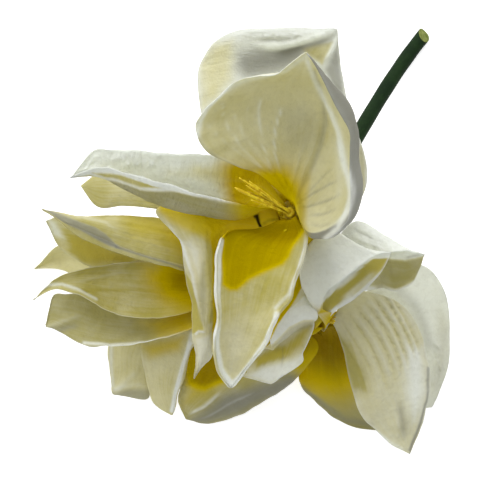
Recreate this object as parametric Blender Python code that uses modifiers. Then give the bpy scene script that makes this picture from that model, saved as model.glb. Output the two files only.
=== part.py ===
"""A cut amaryllis: four six-petalled blooms on one stem, laid on its side.

Sizes are in millimetres until a mesh is made. X runs to the right, Y away from the viewer's feet and Z up,
as seen by someone who looks straight down on the flower. The stem comes in from the upper right.
"""

import math
from dataclasses import dataclass

import bmesh
import bpy
import numpy as np
from mathutils import Vector

MM = 0.001
WELD = 0.00001

VIEW_HEIGHT = 600.0
DRAWN_HEIGHT = 60.0

PETAL_THICKNESS = 0.8
PETAL_ROWS = 14
HALF_COLUMNS = 4
RIM_COLUMNS = 2
INNER_SEAT_RADIUS = 3.8
OUTER_SEAT_RADIUS = 6.0
SEAT_GAP = 0.75
CLAW_FLARE = 0.25
LIP_RADIUS = 8.8
LIP_HEIGHT = 2.6

TUBE_RADIUS = 6.8
TUBE_NECK = 3.4
TUBE_LENGTH = 11.0
PEDICEL_RADIUS = 2.6
STEM_RADIUS = 4.0
ROUND_BEVEL = 5
STALK_BEVEL = 4
THREAD_BEVEL = 1
KNOB_RADIUS = 7.0
JOINT_GAP = 0.35
CUT_MARGIN = 3.0

FILAMENT_RADIUS = 0.5
FILAMENT_SPREAD = 1.9
FILAMENT_STEPS = 5
ANTHER_RADIUS = 0.75
OVARY_RADIUS = 2.7
OVARY_HEIGHT = 2.4

UMBEL = (31.0, -2.0, 58.0)
STEM_BEND = ((51.0, 38.5, 38.0), (82.5, 90.5, 4.0))
STEM_FOOT = (101.5, 113.0, 4.0)
CUT_NORMAL = (0.62, 0.45, 0.64)

FLAT = PETAL_THICKNESS / 2
BOX_CENTRE = (-1.028, 1.686, 0.0)


@dataclass(frozen=True)
class Bloom:
    """A bloom opens along axis from the throat, where its petals start. turn is the first petal's azimuth.

    threads are the middle and end of its bundle of stamens, as one looks from above.
    """

    throat: tuple
    axis: tuple
    turn: float
    threads: tuple


@dataclass(frozen=True)
class Petal:
    """One petal from its claw to its tip.

    rows are cross-sections from the claw outwards. Each has three points: the clockwise margin as one looks
    into the bloom, the midrib and the other margin. A point is (x, y, height); x and y are as they look from
    VIEW_HEIGHT above the ground, measured on the plane at DRAWN_HEIGHT. keel is 0 for a round cross-section
    and 1 for a sharp fold at the midrib. Each rim is (width, degrees): a strip beyond the margin that curls
    back for a positive angle, and over the inner face for a negative one. claw is the length of the upright
    part at the base, and span the part of the ring that it takes, in degrees each way from its middle. A
    petal with a lip bends back at once and passes flat over the tube's rim.
    """

    rows: tuple
    tip: tuple
    claw: float = 6.0
    lip: bool = False
    span: tuple = (-45.0, 45.0)
    keel: float = 0.15
    rims: tuple = ((0.0, 0.0), (0.0, 0.0))


BLOOMS = {
    "top": Bloom((24, 13, 86), (-0.36, 0.16, 0.92), 154, ((11, 21, 101), (-2, 28.5, 104))),
    "left": Bloom((0, -23, 58), (-0.97, -0.15, 0.05), 60, ((-9, -24.5, 58), (-16, -25.5, 59))),
    "lower": Bloom((14, -36, 42), (-0.58, -0.66, -0.48), 30, ((6, -45, 34), (-2, -54, 28))),
    "right": Bloom((41, -39, 46), (0.80, -0.56, -0.15), 30, ((44.5, -38.5, 47.5), (47.5, -37.5, 48.5))),
}

TOP_PETALS = (
    Petal(
        rows=(
            ((32, 6, 96.5), (30, 23, 90), (13, 30, 94)),
            ((47, 8, 105), (36, 37, 93), (-2, 37, 101)),
            ((59, 20, 115), (42, 50, 99), (-17.5, 45, 110)),
            ((59.5, 42, 121), (43.5, 64, 107), (-21.5, 60, 117)),
            ((54.5, 67, 125), (41, 77, 118), (-3, 78.5, 124)),
            ((43, 82.5, 130), (36.5, 86, 127), (19, 84.5, 130)),
        ),
        tip=(33, 93.5, 134),
        keel=0.35,
        rims=((14.5, 80.0), (0.0, 0.0)),
    ),
    Petal(
        rows=(
            ((42, 15, 88), (26, 28, 82), (8, 33, 84)),
            ((59, 18, 74), (28, 50, 72), (-8, 47, 79)),
            ((63, 40, 70), (26, 72, 68), (-20, 66, 77)),
            ((54, 68, 72), (28, 88, 74), (-19, 90, 77)),
            ((50, 90, 77), (38, 98, 82), (0, 104, 78)),
        ),
        tip=(48.5, 105.5, 84),
        claw=1.0,
        lip=True,
    ),
    Petal(
        rows=(
            ((13, 31, 88.5), (14, 19, 88), (20, 15, 91)),
            ((1, 40, 94), (3, 11, 84), (8, 16, 97)),
            ((-19, 42.5, 99), (-18, 12, 83), (-13, 21, 101)),
            ((-42, 44, 100), (-40, 17, 85), (-38, 28, 102)),
            ((-62, 45.5, 99), (-58, 25, 89), (-58, 34, 101)),
            ((-74, 44, 98), (-72, 32, 94), (-73, 36, 99)),
        ),
        tip=(-85, 31, 97),
        claw=3.0,
        keel=0.3,
    ),
    Petal(
        rows=(
            ((9, 17, 79.5), (10, 7, 82), (15, 3, 82)),
            ((-20, 18, 77), (-4, 8, 80.5), (3, 0, 77)),
            ((-41, 15.5, 75), (-13, 2, 81), (-8, -7, 73)),
            ((-30, 0, 74), (-14, -12, 79.5), (-10.5, -18, 71)),
            ((-26.5, -18, 70), (-14, -26, 78), (-11.5, -31, 68)),
            ((-24, -38, 66), (-15.5, -41, 73), (-13.5, -44, 65)),
            ((-22, -56, 64), (-17, -55, 67), (-14.5, -56, 62)),
        ),
        tip=(-23, -69.5, 61),
        claw=1.0,
        lip=True,
    ),
    Petal(
        rows=(
            ((12, 6.5, 91), (22, 5, 89), (32, 5, 93)),
            ((-5, 4, 93), (15, -4, 88.5), (32.5, -3, 93.5)),
            ((-10, -8, 93), (11.5, -14, 87.5), (30, -12, 93)),
            ((-10.5, -21, 93), (8.5, -24, 87), (27, -21, 93)),
            ((-10, -31, 92), (6.5, -33, 86.5), (24.5, -31, 92)),
            ((-10, -39, 91), (4.5, -41, 86), (18, -39.5, 91)),
            ((-12, -56, 87), (0, -56, 83), (11, -54.5, 87)),
            ((-8.5, -68.5, 82), (-3.5, -68, 80), (2, -66, 82)),
        ),
        tip=(-4.5, -74, 79),
        claw=3.0,
        rims=((4.5, 110.0), (4.5, 110.0)),
    ),
    Petal(
        rows=(
            ((28, -2, 83), (34, 3, 85), (36.5, 8, 85)),
            ((22, -15, 68), (29, -12, 67.5), (36.5, -8.5, 60.5)),
            ((17, -32, 65), (25, -30, 66), (33.5, -27.5, 62)),
            ((15.5, -51, 65), (25, -39, 68), (38.5, -37.5, 65)),
            ((16, -54.5, 62), (27, -46, 61), (37, -40.5, 62)),
            ((12, -54, 57), (24, -47, 56), (37, -43, 59)),
            ((3.5, -66, 56), (18, -61, 54), (32, -56, 57)),
            ((4, -69, 56), (14, -69, 55), (27, -65, 57)),
        ),
        tip=(15.5, -72, 55),
        claw=1.0,
        lip=True,
        span=(-35.0, 45.0),
    ),
)

LEFT_PETALS = (
    Petal(
        rows=(
            ((-6, -25, 68), (-5.5, -20.5, 69), (-5, -17, 68.5)),
            ((-20, 0, 69), (-16, 4, 69.5), (-13, 9, 69)),
            ((-37.5, 14, 68), (-34, 19, 69), (-32, 25, 67)),
            ((-57.5, 17, 70), (-56, 24.5, 71), (-55, 33, 69)),
            ((-72.5, 17.5, 73), (-71, 25, 73), (-71.5, 33, 72)),
        ),
        tip=(-79.5, 27, 74),
        claw=3.0,
        span=(-45.0, 0.0),
    ),
    Petal(
        rows=(
            ((-9, -18.5, 63), (-7.5, -14, 61), (-8, -10, 57)),
            ((-27.5, -13, 65), (-26, -2.5, 63), (-25, 6, 58)),
            ((-49.5, -7, 70), (-49, 2, 70), (-45, 11.5, 62)),
            ((-67.5, 0, 71), (-67.5, 7, 73), (-66, 12.5, 66)),
            ((-84, 7.5, 73), (-84, 11, 74), (-83, 12.2, 70)),
        ),
        tip=(-99, 15.5, 72),
        span=(-15.0, 45.0),
        rims=((4.0, -100.0), (0.0, 0.0)),
    ),
    Petal(
        rows=(
            ((-8, -16, 58), (-9, -14, 54), (-9, -17, 50)),
            ((-30, -2.5, 58), (-32.5, 1, 52), (-32.5, -11, 46)),
            ((-55, 4, 62), (-57.5, 4, 54), (-60, -13, 46)),
            ((-77.5, 9, 65), (-81, 6, 56), (-80, -11, 46)),
            ((-90, 12, 64), (-92.5, 7.5, 58), (-92, -1, 50)),
        ),
        tip=(-97, 9.5, 61),
    ),
    Petal(
        rows=(
            ((-7, -14, 50), (-7, -17, 48), (-6, -21, 46)),
            ((-30, -5, 42), (-32.5, -15, 34), (-31, -25, 32)),
            ((-55, -2.5, 34), (-57.5, -14, 20), (-55, -26, 22)),
            ((-77.5, -3, 26), (-80, -11, 9), (-77.5, -21, 14)),
            ((-92.5, -3.5, 16), (-92.5, -10, 3), (-90, -15, 8)),
        ),
        tip=(-103, -14.5, FLAT),
    ),
    Petal(
        rows=(
            ((-9, -19, 53), (-8, -24, 52), (-7, -28, 54)),
            ((-27.5, -14, 50), (-26, -26, 46), (-25, -36, 54)),
            ((-50, -10.5, 52), (-47.5, -25, 44), (-47.5, -39.5, 54)),
            ((-67.5, -12, 54), (-67.5, -22.5, 46), (-67.5, -35, 54)),
            ((-83, -15.5, 56), (-82.5, -21, 52), (-81, -27.5, 56)),
            ((-93.5, -20.5, 58), (-93, -22.5, 57), (-92.5, -24.5, 58)),
        ),
        tip=(-103.5, -30, 60),
    ),
    Petal(
        rows=(
            ((-6, -26, 50), (-4, -29, 54), (-2, -29, 60)),
            ((-25, -34, 44), (-26, -41, 46), (-24.5, -44.5, 54)),
            ((-47.5, -32.5, 42), (-47.5, -47, 42), (-45, -50.5, 50)),
            ((-67.5, -30, 42), (-70, -46, 42), (-66, -53, 48)),
            ((-86.5, -27, 44), (-89, -40, 43), (-82.5, -50.5, 46)),
            ((-94, -28.5, 43), (-94.5, -39, 42), (-92, -45, 44)),
        ),
        tip=(-97, -43.5, 42),
    ),
)

LOWER_PETALS = (
    Petal(
        rows=(
            ((22, -41, 41), (16, -42, 44), (10, -42, 44)),
            ((37, -49, 36), (22.5, -47.5, 42), (-8, -46, 35)),
            ((31.5, -66, 28), (11, -61, 36), (-26, -52, 25)),
            ((16, -78.5, 15), (-2.5, -71, 27), (-28, -66, 17)),
            ((-2.5, -88, 6), (-16, -80.5, 16), (-31, -79, 12)),
            ((-17.5, -92, 3), (-23.5, -86, 9), (-30, -84, 8)),
        ),
        tip=(-27, -89.5, 5),
        keel=0.5,
    ),
    Petal(
        rows=(
            ((7, -42, 46), (5, -39, 48), (3.5, -36, 47)),
            ((-7.5, -47.5, 39), (-14, -41, 38), (-17.5, -34, 37)),
            ((-25, -52.5, 32), (-35, -45, 32), (-45, -39, 30)),
            ((-29, -66, 24), (-38.5, -61, 25), (-49.5, -53.5, 22)),
            ((-32.5, -77, 17), (-39, -74, 18), (-46, -74, 15)),
            ((-33, -84, 13), (-36, -83.5, 13), (-40.5, -84, 11)),
        ),
        tip=(-34, -87.5, 10),
        rims=((4.0, 110.0), (0.0, 0.0)),
    ),
    Petal(
        rows=(
            ((5, -35, 44), (4, -33, 41), (5, -32, 37)),
            ((-17.5, -37.5, 32), (-20, -31.5, 31), (-20, -27.5, 25)),
            ((-40, -47.5, 24), (-46, -39, 24), (-50, -32.5, 18)),
            ((-46, -67.5, 14), (-57.5, -55, 18), (-65, -50, 14)),
            ((-48, -80, 8), (-59, -70, 14), (-65.5, -64, 12)),
        ),
        tip=(-63.5, -77, 11),
    ),
    Petal(
        rows=(
            ((5, -33, 33), (6, -33, 31), (9, -33, 30)),
            ((-17, -32, 20), (-17.5, -36, 18), (-12, -40, 16)),
            ((-35, -43, 11), (-37.5, -48, 7), (-30, -53, 5)),
        ),
        tip=(-54, -62, FLAT),
        span=(0.0, 45.0),
    ),
    Petal(
        rows=(
            ((5, -39, 35), (8, -41, 33), (13, -42, 32)),
            ((-11, -44, 18), (-5, -50, 17), (3, -54, 16)),
            ((-24, -56, 8), (-16.5, -61, 5), (-6, -64, 5)),
            ((-28, -65, FLAT), (-22, -69, FLAT), (-13, -72, FLAT)),
        ),
        tip=(-25, -77, FLAT),
    ),
    Petal(
        rows=(
            ((15, -42, 30), (18, -43, 30), (21, -42, 32)),
            ((11, -57, 15), (18, -58, 15), (27, -58, 17)),
            ((3, -67, 6), (9.5, -68, 5), (18, -67, 7)),
            ((-4, -74, FLAT), (2, -76, FLAT), (10, -75, 1)),
        ),
        tip=(-4, -83, FLAT),
        span=(-45.0, 0.0),
    ),
)

RIGHT_PETALS = (
    Petal(
        rows=(
            ((48, -33, 45), (45.5, -27.5, 50), (43.5, -30, 52.5)),
            ((56, -27, 46), (48, 0, 57), (52, -18, 60)),
            ((69, -24, 50), (58, 9.5, 62), (64, -8, 70)),
            ((79.5, -25, 54), (73, 1.5, 68), (76, -6.5, 79)),
            ((88, -19, 62), (84, -4.5, 72), (85.5, -5, 79)),
        ),
        tip=(92.5, -7, 75),
        claw=2.0,
        span=(-45.0, 30.0),
    ),
    Petal(
        rows=(
            ((41.5, -34, 68), (37, -32.5, 67.5), (44, -39.5, 58)),
            ((43, -26.5, 77), (31, -21, 73), (49, -34.5, 60)),
            ((52, -19.5, 85), (33.5, -4, 78), (56.5, -30, 63)),
            ((62, -11.5, 89), (45, 5, 79), (65.5, -22, 68)),
            ((70, -7, 91), (60, -4, 85), (72, -14, 82)),
        ),
        tip=(75.5, -6, 89),
        claw=1.0,
        lip=True,
        span=(-30.0, 20.0),
    ),
    Petal(
        rows=(
            ((33, -42.5, 50), (31, -46, 50), (32, -49, 49)),
            ((23, -49, 50), (21, -53, 50), (24, -57, 49)),
            ((14, -55, 48), (12, -60, 47), (16, -64, 46)),
        ),
        tip=(5, -66, 43),
        claw=1.0,
        lip=True,
        span=(-35.0, 35.0),
    ),
    Petal(
        rows=(
            ((36, -42, 38), (43, -44, 36.5), (49, -41.5, 38)),
            ((30, -59, 16), (45, -60, 22), (56, -57.5, 28)),
            ((31, -73, 8), (47.5, -74, 14), (61, -71, 22)),
            ((42.5, -85, 4), (54, -84, 8), (67, -82, 16)),
            ((57, -93.5, 1), (62.5, -92, 1), (72, -90, 4)),
        ),
        tip=(72, -95.5, FLAT),
        span=(-15.0, 45.0),
    ),
    Petal(
        rows=(
            ((45, -41, 43), (49, -36, 41.5), (53, -28, 44)),
            ((51, -53, 38), (64, -40, 40), (74, -28.5, 38)),
            ((55, -71, 34), (74, -54, 40), (87, -40, 34)),
            ((60, -86, 30), (80, -69, 37), (93.5, -59, 30)),
            ((69, -96, 27), (83, -85, 33), (94.5, -76, 27)),
            ((78, -103.5, 26), (84.5, -98, 28), (90.5, -94, 26)),
        ),
        tip=(85, -107, 26),
    ),
    Petal(
        rows=(
            ((47.5, -42, 30), (51, -37, 30.5), (54, -32, 33)),
            ((62.5, -45, 25), (75, -31, 30), (88, -12, 36)),
            ((77.5, -62.5, 18), (87.5, -45, 26), (102, -25, 32)),
            ((86, -77.5, 12), (95, -61, 20), (105, -50, 24)),
            ((91, -84, 10), (96.5, -76, 14), (102, -69, 16)),
        ),
        tip=(96, -83.5, 11),
        span=(-45.0, 0.0),
    ),
)

PETALS = {"top": TOP_PETALS, "left": LEFT_PETALS, "lower": LOWER_PETALS, "right": RIGHT_PETALS}


def unit(vector):
    return np.asarray(vector, float) / np.linalg.norm(vector)


def smooth(value, low, high):
    """0 below low, 1 above high, and a smooth step between."""
    t = np.clip((value - low) / (high - low), 0.0, 1.0)
    return t * t * (3 - 2 * t)


def placed(point):
    """The real place of a point whose x and y are given as seen from above."""
    x, y, height = point
    scale = (VIEW_HEIGHT - height) / (VIEW_HEIGHT - DRAWN_HEIGHT)
    return np.array((x * scale, y * scale, height))


def round_axis(axis, azimuth):
    """The direction square to axis at this azimuth, which grows anticlockwise as one looks into the bloom."""
    level = unit(np.cross((0, 0, 1), axis))
    rising = np.cross(unit(axis), level)
    return math.cos(azimuth) * level + math.sin(azimuth) * rising


def through(points, knots, stations):
    """A smooth curve through points that lie at knots, read at stations."""
    points = np.asarray(points, float)
    slopes = np.gradient(points, knots, axis=0)
    k = np.clip(np.searchsorted(knots, stations, side="right") - 1, 0, len(knots) - 2)
    h = (knots[k + 1] - knots[k])[:, None]
    t = ((stations - knots[k]) / h[:, 0])[:, None]
    return (
        points[k] * (2 * t**3 - 3 * t**2 + 1)
        + slopes[k] * h * (t**3 - 2 * t**2 + t)
        + points[k + 1] * (3 * t**2 - 2 * t**3)
        + slopes[k + 1] * h * (t**3 - t**2)
    )


def ring_point(bloom, radius, degrees, height):
    """A point at this radius from the bloom's axis and this height above its throat."""
    outward = round_axis(bloom.axis, math.radians(bloom.turn + degrees))
    return np.asarray(bloom.throat, float) + unit(bloom.axis) * height + outward * radius


def claw_points(bloom, slot, petal, side):
    """The first points of a margin or midrib, at side degrees from the petal's middle."""
    radius = OUTER_SEAT_RADIUS if slot % 2 else INNER_SEAT_RADIUS
    degrees = 60 * slot + side
    points = [ring_point(bloom, radius, degrees, SEAT_GAP)]
    points.append(ring_point(bloom, radius + CLAW_FLARE * petal.claw, degrees, SEAT_GAP + petal.claw))
    if petal.lip:
        points.append(ring_point(bloom, LIP_RADIUS, degrees, LIP_HEIGHT))
    return points


def petal_lines(bloom, slot, petal, stations):
    """The petal's two margins and its midrib at these shares of its length."""
    lines = []
    for column in range(3):
        side = (petal.span[0], (petal.span[0] + petal.span[1]) / 2, petal.span[1])[column]
        points = claw_points(bloom, slot, petal, side)
        points += [placed(row[column]) for row in petal.rows]
        lines.append(points + [placed(petal.tip)])
    steps = np.linalg.norm(np.diff(lines[1], axis=0), axis=1)
    knots = np.concatenate([[0], np.cumsum(steps)])
    knots /= knots[-1]
    return [through(points, knots, stations) for points in lines]


def petal_grid(bloom, slot, petal, rows, half_columns, rim_columns):
    """The petal's middle surface as rows of points across it, from the claw to just short of the tip."""
    stations = 1 - (1 - np.linspace(0, 1, rows + 1)) ** 1.15
    clockwise, midrib, other = petal_lines(bloom, slot, petal, stations)
    share = np.linspace(0, 1, half_columns + 1)
    near = np.linalg.norm(midrib - clockwise, axis=1)[:, None, None]
    far = np.linalg.norm(other - midrib, axis=1)[:, None, None]
    m = near / np.maximum(near + far, 1e-9)
    s = np.concatenate([m * share[None, :, None], m + (1 - m) * share[None, 1:, None]], axis=1)
    a, b, c = clockwise[:, None], midrib[:, None], other[:, None]
    m = np.clip(m, 0.15, 0.85)
    s = np.clip(s, 0, 1)
    arc = a * (s - m) * (s - 1) / m + b * s * (s - 1) / (m * (m - 1)) + c * s * (s - m) / (1 - m)
    folded = np.where(s <= m, a + (b - a) * s / m, b + (c - b) * (s - m) / (1 - m))
    grid = arc * (1 - petal.keel) + folded * petal.keel
    parts = [grid]
    for side, (width, degrees) in zip((-1, 1), petal.rims):
        if width:
            strip = rim_strip(grid, stations, side, width, math.radians(degrees), rim_columns)
            parts = [strip[:, ::-1], *parts] if side < 0 else [*parts, strip]
    grid = np.concatenate(parts, axis=1)
    grid[..., 2] = np.maximum(grid[..., 2], FLAT)
    return grid


def rim_strip(grid, stations, side, width, angle, columns):
    """The points of a strip beyond one margin of the grid, which curls through angle over its width."""
    edge = grid[:, 0] if side < 0 else grid[:, -1]
    next_in = grid[:, 1] if side < 0 else grid[:, -2]
    outward = edge - next_in
    outward /= np.maximum(np.linalg.norm(outward, axis=1), 1e-6)[:, None]
    along = np.gradient(edge, axis=0)
    back = np.cross(along, outward) * side
    back /= np.maximum(np.linalg.norm(back, axis=1), 1e-6)[:, None]
    reach = width * smooth(stations, 0.08, 0.35) * (1 - smooth(stations, 0.8, 1.0)) + 0.25
    strip, place = [], edge.copy()
    for k in range(columns):
        turn = angle * (k + 0.5) / columns
        place = place + (outward * math.cos(turn) + back * math.sin(turn)) * (reach / columns)[:, None]
        strip.append(place)
    return np.stack(strip, axis=1)


def petal_faces(rows, columns, middle):
    """Triangles between the rows of a grid, with the diagonals alike about the middle column, and the tip."""
    faces = []
    width = columns + 1
    for r in range(rows - 1):
        for k in range(columns):
            a, b = r * width + k, r * width + k + 1
            d, c = a + width, b + width
            faces += [(a, b, c), (a, c, d)] if k < middle else [(a, b, d), (b, c, d)]
    tip = rows * width
    faces += [((rows - 1) * width + k, (rows - 1) * width + k + 1, tip) for k in range(columns)]
    return faces


def make_petal(name, bloom, slot, petal, material, collection):
    """A thin closed petal: its middle surface in triangles, thickened alike on both faces."""
    grid = petal_grid(bloom, slot, petal, PETAL_ROWS, HALF_COLUMNS, RIM_COLUMNS)
    columns = grid.shape[1] - 1
    middle = HALF_COLUMNS + (RIM_COLUMNS if petal.rims[0][0] else 0)
    vertices = np.concatenate([grid[:-1].reshape(-1, 3), grid[-1:, middle]])
    faces = petal_faces(PETAL_ROWS, columns, middle)
    mesh = bpy.data.meshes.new(name)
    mesh.from_pydata([tuple(v * MM) for v in vertices], [], faces)
    mesh.materials.append(material)
    mesh.shade_smooth()
    obj = bpy.data.objects.new(name, mesh)
    collection.objects.link(obj)
    solidify = obj.modifiers.new("thickness", "SOLIDIFY")
    solidify.thickness = PETAL_THICKNESS * MM
    solidify.offset = 0
    return obj


def rod(name, points, radii, resolution, material, collection):
    """A round closed solid along points, as thick at each one as radii say."""
    curve = bpy.data.curves.new(name, "CURVE")
    curve.dimensions = "3D"
    curve.bevel_depth = MM
    curve.bevel_resolution = resolution
    curve.use_fill_caps = True
    spline = curve.splines.new("POLY")
    spline.points.add(len(points) - 1)
    for knot, point, radius in zip(spline.points, points, radii):
        knot.co = (*(np.asarray(point) * MM), 1)
        knot.radius = radius
    drawn = bpy.data.objects.new(name, curve)
    collection.objects.link(drawn)
    graph = bpy.context.evaluated_depsgraph_get()
    mesh = bpy.data.meshes.new_from_object(drawn.evaluated_get(graph))
    mesh.materials.clear()
    mesh.materials.append(material)
    bpy.data.objects.remove(drawn)
    bm = bmesh.new()
    bm.from_mesh(mesh)
    bmesh.ops.remove_doubles(bm, verts=bm.verts[:], dist=WELD)
    return finished(name, bm, mesh, collection)


def finished(name, bm, mesh, collection):
    """The object of a mesh, once bm is written to it."""
    bm.to_mesh(mesh)
    bm.free()
    mesh.name = name
    mesh.shade_smooth()
    obj = bpy.data.objects.new(name, mesh)
    collection.objects.link(obj)
    return obj


def ball(name, centre, radius, material, collection):
    mesh = bpy.data.meshes.new(name)
    mesh.materials.append(material)
    bm = bmesh.new()
    bmesh.ops.create_uvsphere(bm, u_segments=14, v_segments=8, radius=radius * MM)
    bmesh.ops.translate(bm, verts=bm.verts[:], vec=Vector(centre) * MM)
    return finished(name, bm, mesh, collection)


def bezier(points, t):
    a, b, c, d = (np.asarray(p, float) for p in points)
    t = np.asarray(t)[:, None]
    return a * (1 - t) ** 3 + 3 * b * t * (1 - t) ** 2 + 3 * c * t * t * (1 - t) + d * t**3


def join(name, pieces):
    """One solid from overlapping ones."""
    base = pieces[0]
    extra = bpy.data.collections.new(name + "_pieces")
    bpy.context.scene.collection.children.link(extra)
    for piece in pieces[1:]:
        piece.users_collection[0].objects.unlink(piece)
        extra.objects.link(piece)
    union = base.modifiers.new("union", "BOOLEAN")
    union.operation = "UNION"
    union.solver = "EXACT"
    union.operand_type = "COLLECTION"
    union.collection = extra
    graph = bpy.context.evaluated_depsgraph_get()
    mesh = bpy.data.meshes.new_from_object(base.evaluated_get(graph))
    base.modifiers.clear()
    base.data = mesh
    base.name = name
    mesh.name = name
    for piece in list(extra.objects):
        bpy.data.objects.remove(piece)
    bpy.data.collections.remove(extra)
    return base


def make_tube(name, bloom, material, collection):
    """The cup that holds one bloom's petals, from the neck to the throat."""
    axis, throat = unit(bloom.axis), np.asarray(bloom.throat, float)
    stations = np.linspace(0, 1, 5)
    points = [throat - axis * TUBE_LENGTH * (1 - t) for t in stations]
    radii = [TUBE_NECK + (TUBE_RADIUS - TUBE_NECK) * math.sin(t * math.pi / 2) for t in stations]
    return rod(name, points, radii, ROUND_BEVEL, material, collection)


def thread_path(bloom, number, count, steps):
    """The middle line of one stamen, and how far along its bundle's curve it reaches."""
    axis, throat = unit(bloom.axis), np.asarray(bloom.throat, float)
    azimuth = 2 * math.pi * number / count + 0.4
    offset = round_axis(axis, azimuth) * FILAMENT_SPREAD * 0.62
    middle, end = placed(bloom.threads[0]), placed(bloom.threads[1])
    reach = 0.84 + 0.16 * math.sin(2.4 * number + 0.5)
    fan = round_axis(unit(end - middle), azimuth * 2) * FILAMENT_SPREAD * 1.3
    start = throat + offset + axis * (OVARY_HEIGHT * 0.4)
    lift = throat + offset + axis * (OVARY_HEIGHT + 6)
    return bezier((start, lift, middle + fan * 0.6, end + fan), np.linspace(0, reach, steps + 1))


def make_stamens(name, bloom, material, collection):
    """Six stamens of one bloom, on one small boss."""
    axis, throat = unit(bloom.axis), np.asarray(bloom.throat, float)
    foot = throat + axis * JOINT_GAP
    boss = [foot, foot + axis * OVARY_HEIGHT * 0.6, foot + axis * OVARY_HEIGHT]
    pieces = [rod(name, boss, (OVARY_RADIUS, OVARY_RADIUS * 0.9, 1.2), STALK_BEVEL, material, collection)]
    for number in range(6):
        path = thread_path(bloom, number, 6, FILAMENT_STEPS)
        radii = np.full(len(path), FILAMENT_RADIUS)
        radii[-2:] = ANTHER_RADIUS
        pieces.append(rod(name, path, radii, THREAD_BEVEL, material, collection))
    return join(name, pieces)


def stem_path(steps):
    """The middle line of the stem, from the knob to a little past its cut end."""
    path = bezier((UMBEL, *STEM_BEND, STEM_FOOT), np.linspace(0, 1, steps + 1))
    past = path[-1] + unit(np.subtract(STEM_FOOT, STEM_BEND[1])) * CUT_MARGIN
    return np.concatenate([path, [past]])


def stalk_path(bloom, steps):
    """The middle line of one flower stalk, from the knob to its flower's neck."""
    umbel, axis = np.asarray(UMBEL, float), unit(bloom.axis)
    neck = np.asarray(bloom.throat, float) - axis * (TUBE_LENGTH + JOINT_GAP)
    out = unit(neck - umbel)
    end = neck - axis * 1.5
    path = bezier((umbel, umbel + out * 9, end - axis * 5, end), np.linspace(0, 1, steps + 1))
    return np.concatenate([path, [neck]])


def make_stem(name, material, cut_material, collection):
    """The stem, cut on a slant, with the knob and the four flower stalks that leave it."""
    path = stem_path(14)
    pieces = [rod(name, path, np.full(len(path), STEM_RADIUS), ROUND_BEVEL, material, collection)]
    pieces.append(ball(name, UMBEL, KNOB_RADIUS, material, collection))
    for bloom in BLOOMS.values():
        stalk = stalk_path(bloom, 6)
        radii = np.linspace(PEDICEL_RADIUS, PEDICEL_RADIUS * 1.15, len(stalk))
        pieces.append(rod(name, stalk, radii, STALK_BEVEL, material, collection))
    stem = join(name, pieces)
    stem.data.materials.append(cut_material)
    bm = bmesh.new()
    bm.from_mesh(stem.data)
    geometry = bm.verts[:] + bm.edges[:] + bm.faces[:]
    place, normal = Vector(STEM_FOOT) * MM, Vector(CUT_NORMAL)
    trimmed = bmesh.ops.bisect_plane(bm, geom=geometry, plane_co=place, plane_no=normal, clear_outer=True)
    rim = [edge for edge in trimmed["geom_cut"] if isinstance(edge, bmesh.types.BMEdge)]
    end = bmesh.ops.contextual_create(bm, geom=rim, mat_nr=1)
    for face in end["faces"]:
        face.smooth = False
    bmesh.ops.remove_doubles(bm, verts=bm.verts[:], dist=WELD)
    bm.to_mesh(stem.data)
    bm.free()
    return stem


def make_material(name, colour, roughness):
    material = bpy.data.materials.new(name)
    material.use_nodes = True
    shader = material.node_tree.nodes["Principled BSDF"]
    shader.inputs["Base Color"].default_value = (*colour, 1)
    shader.inputs["Roughness"].default_value = roughness
    return material


def main():
    for obj in list(bpy.data.objects):
        bpy.data.objects.remove(obj)
    flower = bpy.data.collections.new("amaryllis")
    bpy.context.scene.collection.children.link(flower)
    cream = make_material("petal_cream", (0.86, 0.84, 0.66), 0.55)
    pale_green = make_material("throat_green", (0.55, 0.56, 0.20), 0.55)
    yellow = make_material("stamen_yellow", (0.75, 0.52, 0.03), 0.5)
    dark_green = make_material("stem_green", (0.015, 0.04, 0.008), 0.4)
    pale_cut = make_material("stem_cut", (0.16, 0.19, 0.07), 0.7)
    for bloom_name, bloom in BLOOMS.items():
        for slot, petal in enumerate(PETALS[bloom_name]):
            make_petal(f"petal_{bloom_name}_{slot + 1}", bloom, slot, petal, cream, flower)
        make_tube(f"tube_{bloom_name}", bloom, pale_green, flower)
        make_stamens(f"stamens_{bloom_name}", bloom, yellow, flower)
    make_stem("stem", dark_green, pale_cut, flower)
    for obj in flower.objects:
        obj.location = -Vector(BOX_CENTRE) * MM


main()
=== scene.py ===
"""The look of the cut amaryllis: cloth petals, threads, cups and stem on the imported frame, floor, light and camera.

Lengths are in millimetres until a mesh is made. Shapes are given as they look from straight above, in the
frame that the flower was drawn in, whose origin is under the camera; BOX_CENTRE takes them to the model's.
"""

import math
import random
from dataclasses import dataclass

import bmesh
import bpy
import numpy as np
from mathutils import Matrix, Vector, noise


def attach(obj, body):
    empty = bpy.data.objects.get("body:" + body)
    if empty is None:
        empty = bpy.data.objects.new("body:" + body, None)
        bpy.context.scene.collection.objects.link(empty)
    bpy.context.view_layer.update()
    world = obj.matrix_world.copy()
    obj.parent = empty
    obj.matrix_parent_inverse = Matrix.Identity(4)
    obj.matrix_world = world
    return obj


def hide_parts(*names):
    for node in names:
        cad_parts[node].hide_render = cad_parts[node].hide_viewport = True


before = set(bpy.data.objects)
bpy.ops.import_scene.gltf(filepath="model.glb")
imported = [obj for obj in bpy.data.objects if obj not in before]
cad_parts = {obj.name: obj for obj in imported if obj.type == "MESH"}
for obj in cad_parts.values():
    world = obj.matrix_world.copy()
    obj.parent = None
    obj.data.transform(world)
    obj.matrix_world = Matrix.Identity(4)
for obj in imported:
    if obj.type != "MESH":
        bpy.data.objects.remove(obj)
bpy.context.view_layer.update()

MM = 0.001
WELD = 0.00001
WHOLE_TURN = 6.28
BOX_CENTRE = np.array((-1.028, 1.686, 0.0))
VIEW_HEIGHT = 600.0
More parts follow.
